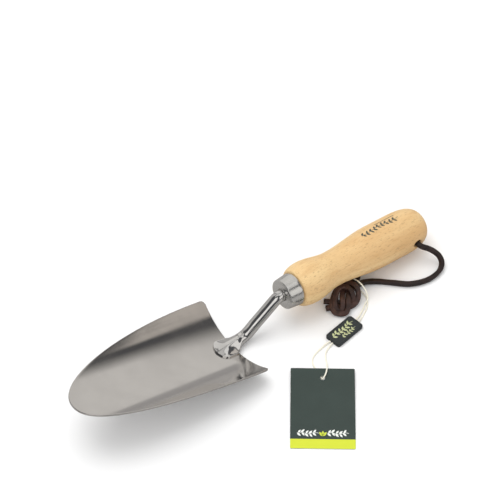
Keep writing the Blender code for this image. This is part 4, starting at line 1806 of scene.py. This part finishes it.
def turned_to(away: Vector) -> Matrix:
    """Return the turn of a camera or lamp whose back points along a vector."""
    return away.to_track_quat("Z", "Y").to_matrix().to_4x4()


@dataclass(frozen=True)
class Softbox:
    """A square studio lamp that does not show in reflections."""

    name: str
    position: tuple[float, float, float]
    aim: tuple[float, float, float]
    size: float
    power: float

    def build(self) -> bpy.types.Object:
        """Make the lamp.

        Returns:
            The new piece.
        """
        light = bpy.data.lights.new(self.name, "AREA")
        light.size = self.size
        light.energy = self.power
        lamp = bpy.data.objects.new(self.name, light)
        bpy.context.scene.collection.objects.link(lamp)
        away = Vector(self.position) - Vector(self.aim)
        lamp.matrix_world = Matrix.Translation(self.position) @ turned_to(away)
        lamp.visible_glossy = False
        return lamp


@dataclass
class Studio:
    """Camera, pale table, soft lamps and the panels that the steel reflects."""

    eye: tuple[float, float, float] = (-0.65997, -0.85482, 1.38085)
    look_at: tuple[float, float, float] = (0.0493, 0.0694, 0.0)
    lens: float = 164.8
    room: Colour = (0.09, 0.09, 0.095)
    backdrop: Colour = (0.84, 0.84, 0.84)
    # Colour of the filter sheet: painted shade that dims the table where the steel reflects it, standing in
    # for the shadowed table near the trowel.
    table_shade_filter: Colour = (0.42, 0.41, 0.40)
    blade_middle: tuple[float, float, float] = (-0.09, 0.0, 0.025)
    table: PaleFloor = field(default_factory=PaleFloor)

    def build_camera(self) -> None:
        """Make the camera."""
        camera = bpy.data.cameras.new("camera")
        camera.lens = self.lens
        camera.sensor_width = SENSOR_WIDTH
        camera.clip_end = 50.0
        viewer = bpy.data.objects.new("camera", camera)
        bpy.context.scene.collection.objects.link(viewer)
        away = Vector(self.eye) - Vector(self.look_at)
        viewer.matrix_world = Matrix.Translation(self.eye) @ turned_to(away)
        bpy.context.scene.camera = viewer

    def sheet(self, name: str, half: float, height: float) -> bpy.types.Object:
        """Make a level square sheet.

        Args:
            name: its name.
            half: half its width.
            height: its height above the table.

        Returns:
            The new piece.
        """
        shell = Shell()
        shell.patch([[Vector((-half, -half, height)), Vector((half, -half, height))],
                     [Vector((-half, half, height)), Vector((half, half, height))]])
        return shell.piece(name)

    def build_room(self) -> None:
        """Make the table, the pale backdrop round it, the dim room that steel reflects, and a filter sheet
        of painted shade that darkens the table as the steel reflects it.
        """
        floor = self.sheet("table", TABLE_HALF, 0.0)
        dress(floor, self.table.make())
        # Painted shade: a filter sheet just above the table, seen only in reflections, darkens the reflected
        # table.
        table_shade_filter = self.sheet("painted_table_shade", TABLE_HALF, TABLE_SHADE_HEIGHT)
        dress(table_shade_filter, stage_material("painted_table_shade", "ShaderNodeBsdfTransparent", self.table_shade_filter))
        only_reflected(table_shade_filter)
        shell = Shell()
        shell.skin([[Vector((x, y, height)) for x, y in ring(radius, 48)]
                    for radius, height in ((4.0, -0.5), (4.0, 1.0), (3.5, 2.2), (2.4, 3.2), (1.0, 3.8))])
        backdrop = shell.piece("backdrop", None, 80.0)
        dress(backdrop, stage_material("backdrop", "ShaderNodeEmission", self.backdrop, 1.0))
        backdrop.visible_glossy = False
        backdrop.visible_shadow = False
        world = bpy.data.worlds.new("room")
        world.use_nodes = True
        background = world.node_tree.nodes["Background"]
        background.inputs["Color"].default_value = (*self.room, 1.0)
        background.inputs["Strength"].default_value = 1.0
        bpy.context.scene.world = world
        bpy.context.scene.view_settings.view_transform = "Standard"

    def build_lights(self) -> None:
        """Make the lamps and the panels."""
        lamps = [
            Softbox("overhead_softbox", (-0.1, 0.5, 1.5), (0.0, 0.0, 0.0), 1.3, 12.5),
            Softbox("front_fill", (-1.0, -1.2, 1.1), (0.0, 0.0, 0.0), 1.0, 3.0),
        ]
        bright, warm = (0.76, 0.745, 0.72), (1.0, 0.985, 0.96)
        edge = ((26, 8), (22, 31), (13, 38), (7, 45), (7, 64))
        panels = [
            Panel("wall_softbox", PANEL_DISTANCE, edge, tuple((80, rise) for _, rise in edge), bright),
            Panel("long_softbox", 1.0, ((-42, 12), (-42, 28.5)), ((-9, 20), (-9.5, 40.8)),
                  (0.62, 0.58, 0.535)),
            upright("low_wall", PANEL_DISTANCE, (18, -6), (80, 8), (0.42, 0.41, 0.405)),
            upright("camera_side_softbox", PANEL_DISTANCE, (-158, 28), (-106, 64), warm),
            upright("side_softbox", 1.1, (-84, 10), (-46, 46), (0.9, 0.88, 0.85)),
            upright("top_softbox", 1.1, (-70, 54), (6, 78), (0.86, 0.85, 0.83)),
            upright("far_softbox", 1.3, (112, -3), (172, 32), (0.58, 0.57, 0.55)),
            upright("zenith_softbox", 1.1, (-180, 79), (180, 90), (0.74, 0.73, 0.71)),
            upright("high_wall", 1.1, (10, 66), (176, 78), (0.6, 0.59, 0.575)),
            upright("end_softbox", PANEL_DISTANCE, (82, -3), (110, 62), (0.5, 0.49, 0.48)),
            upright("front_wall", PANEL_DISTANCE, (-152, -4), (-118, 24), (0.5, 0.49, 0.475)),
            upright("low_end_wall", PANEL_DISTANCE, (-42, -4), (17, 10), (0.42, 0.41, 0.4)),
        ]
        inner = edge
        for step, share in enumerate(FADE_SHARES, 1):
            outer = tuple((azimuth - FADE_WIDTH, elevation) for azimuth, elevation in inner)
            colour = tuple(value * share for value in bright)
            panels.append(Panel(f"wall_fade_{step}", PANEL_DISTANCE, outer, inner, colour))
            inner = outer
        aim = Vector(self.blade_middle)
        [lamp.build() for lamp in lamps]
        [panel.build(aim) for panel in panels]


def main() -> None:
    """Load the frame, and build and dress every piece."""
    logging.basicConfig(level=logging.INFO, format="%(message)s")
    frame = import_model()
    layout, studio = Layout(), Studio()
    studio.build_camera()

    thong, seal, tag = Thong(), StringSeal(), SwingTag()
    card = frame["nodes"]["swing_tag"]
    lace, knot = thong.build_loop(), thong.build_knot()
    thong.declare(lace, knot)
    seal_string, body = seal.build_loop(), seal.build()
    seal.declare(seal_string, body)
    tag_string = tag.build_loop()
    tag.declare(tag_string, card)
    seal.build_print()
    tag.dress_card(card)
    tag.build_print()
    tag.build_mark()

    blade, ferrule, handle = Blade(), Ferrule(), Handle()
    blade.build(layout)
    Neck().build(layout, blade)
    ferrule.build_cup(layout)
    ferrule.build_pin(layout)
    handle.build(layout, ferrule)
    handle.build_print(layout)

    studio.build_room()
    studio.build_lights()


if __name__ == "__main__":
    main()
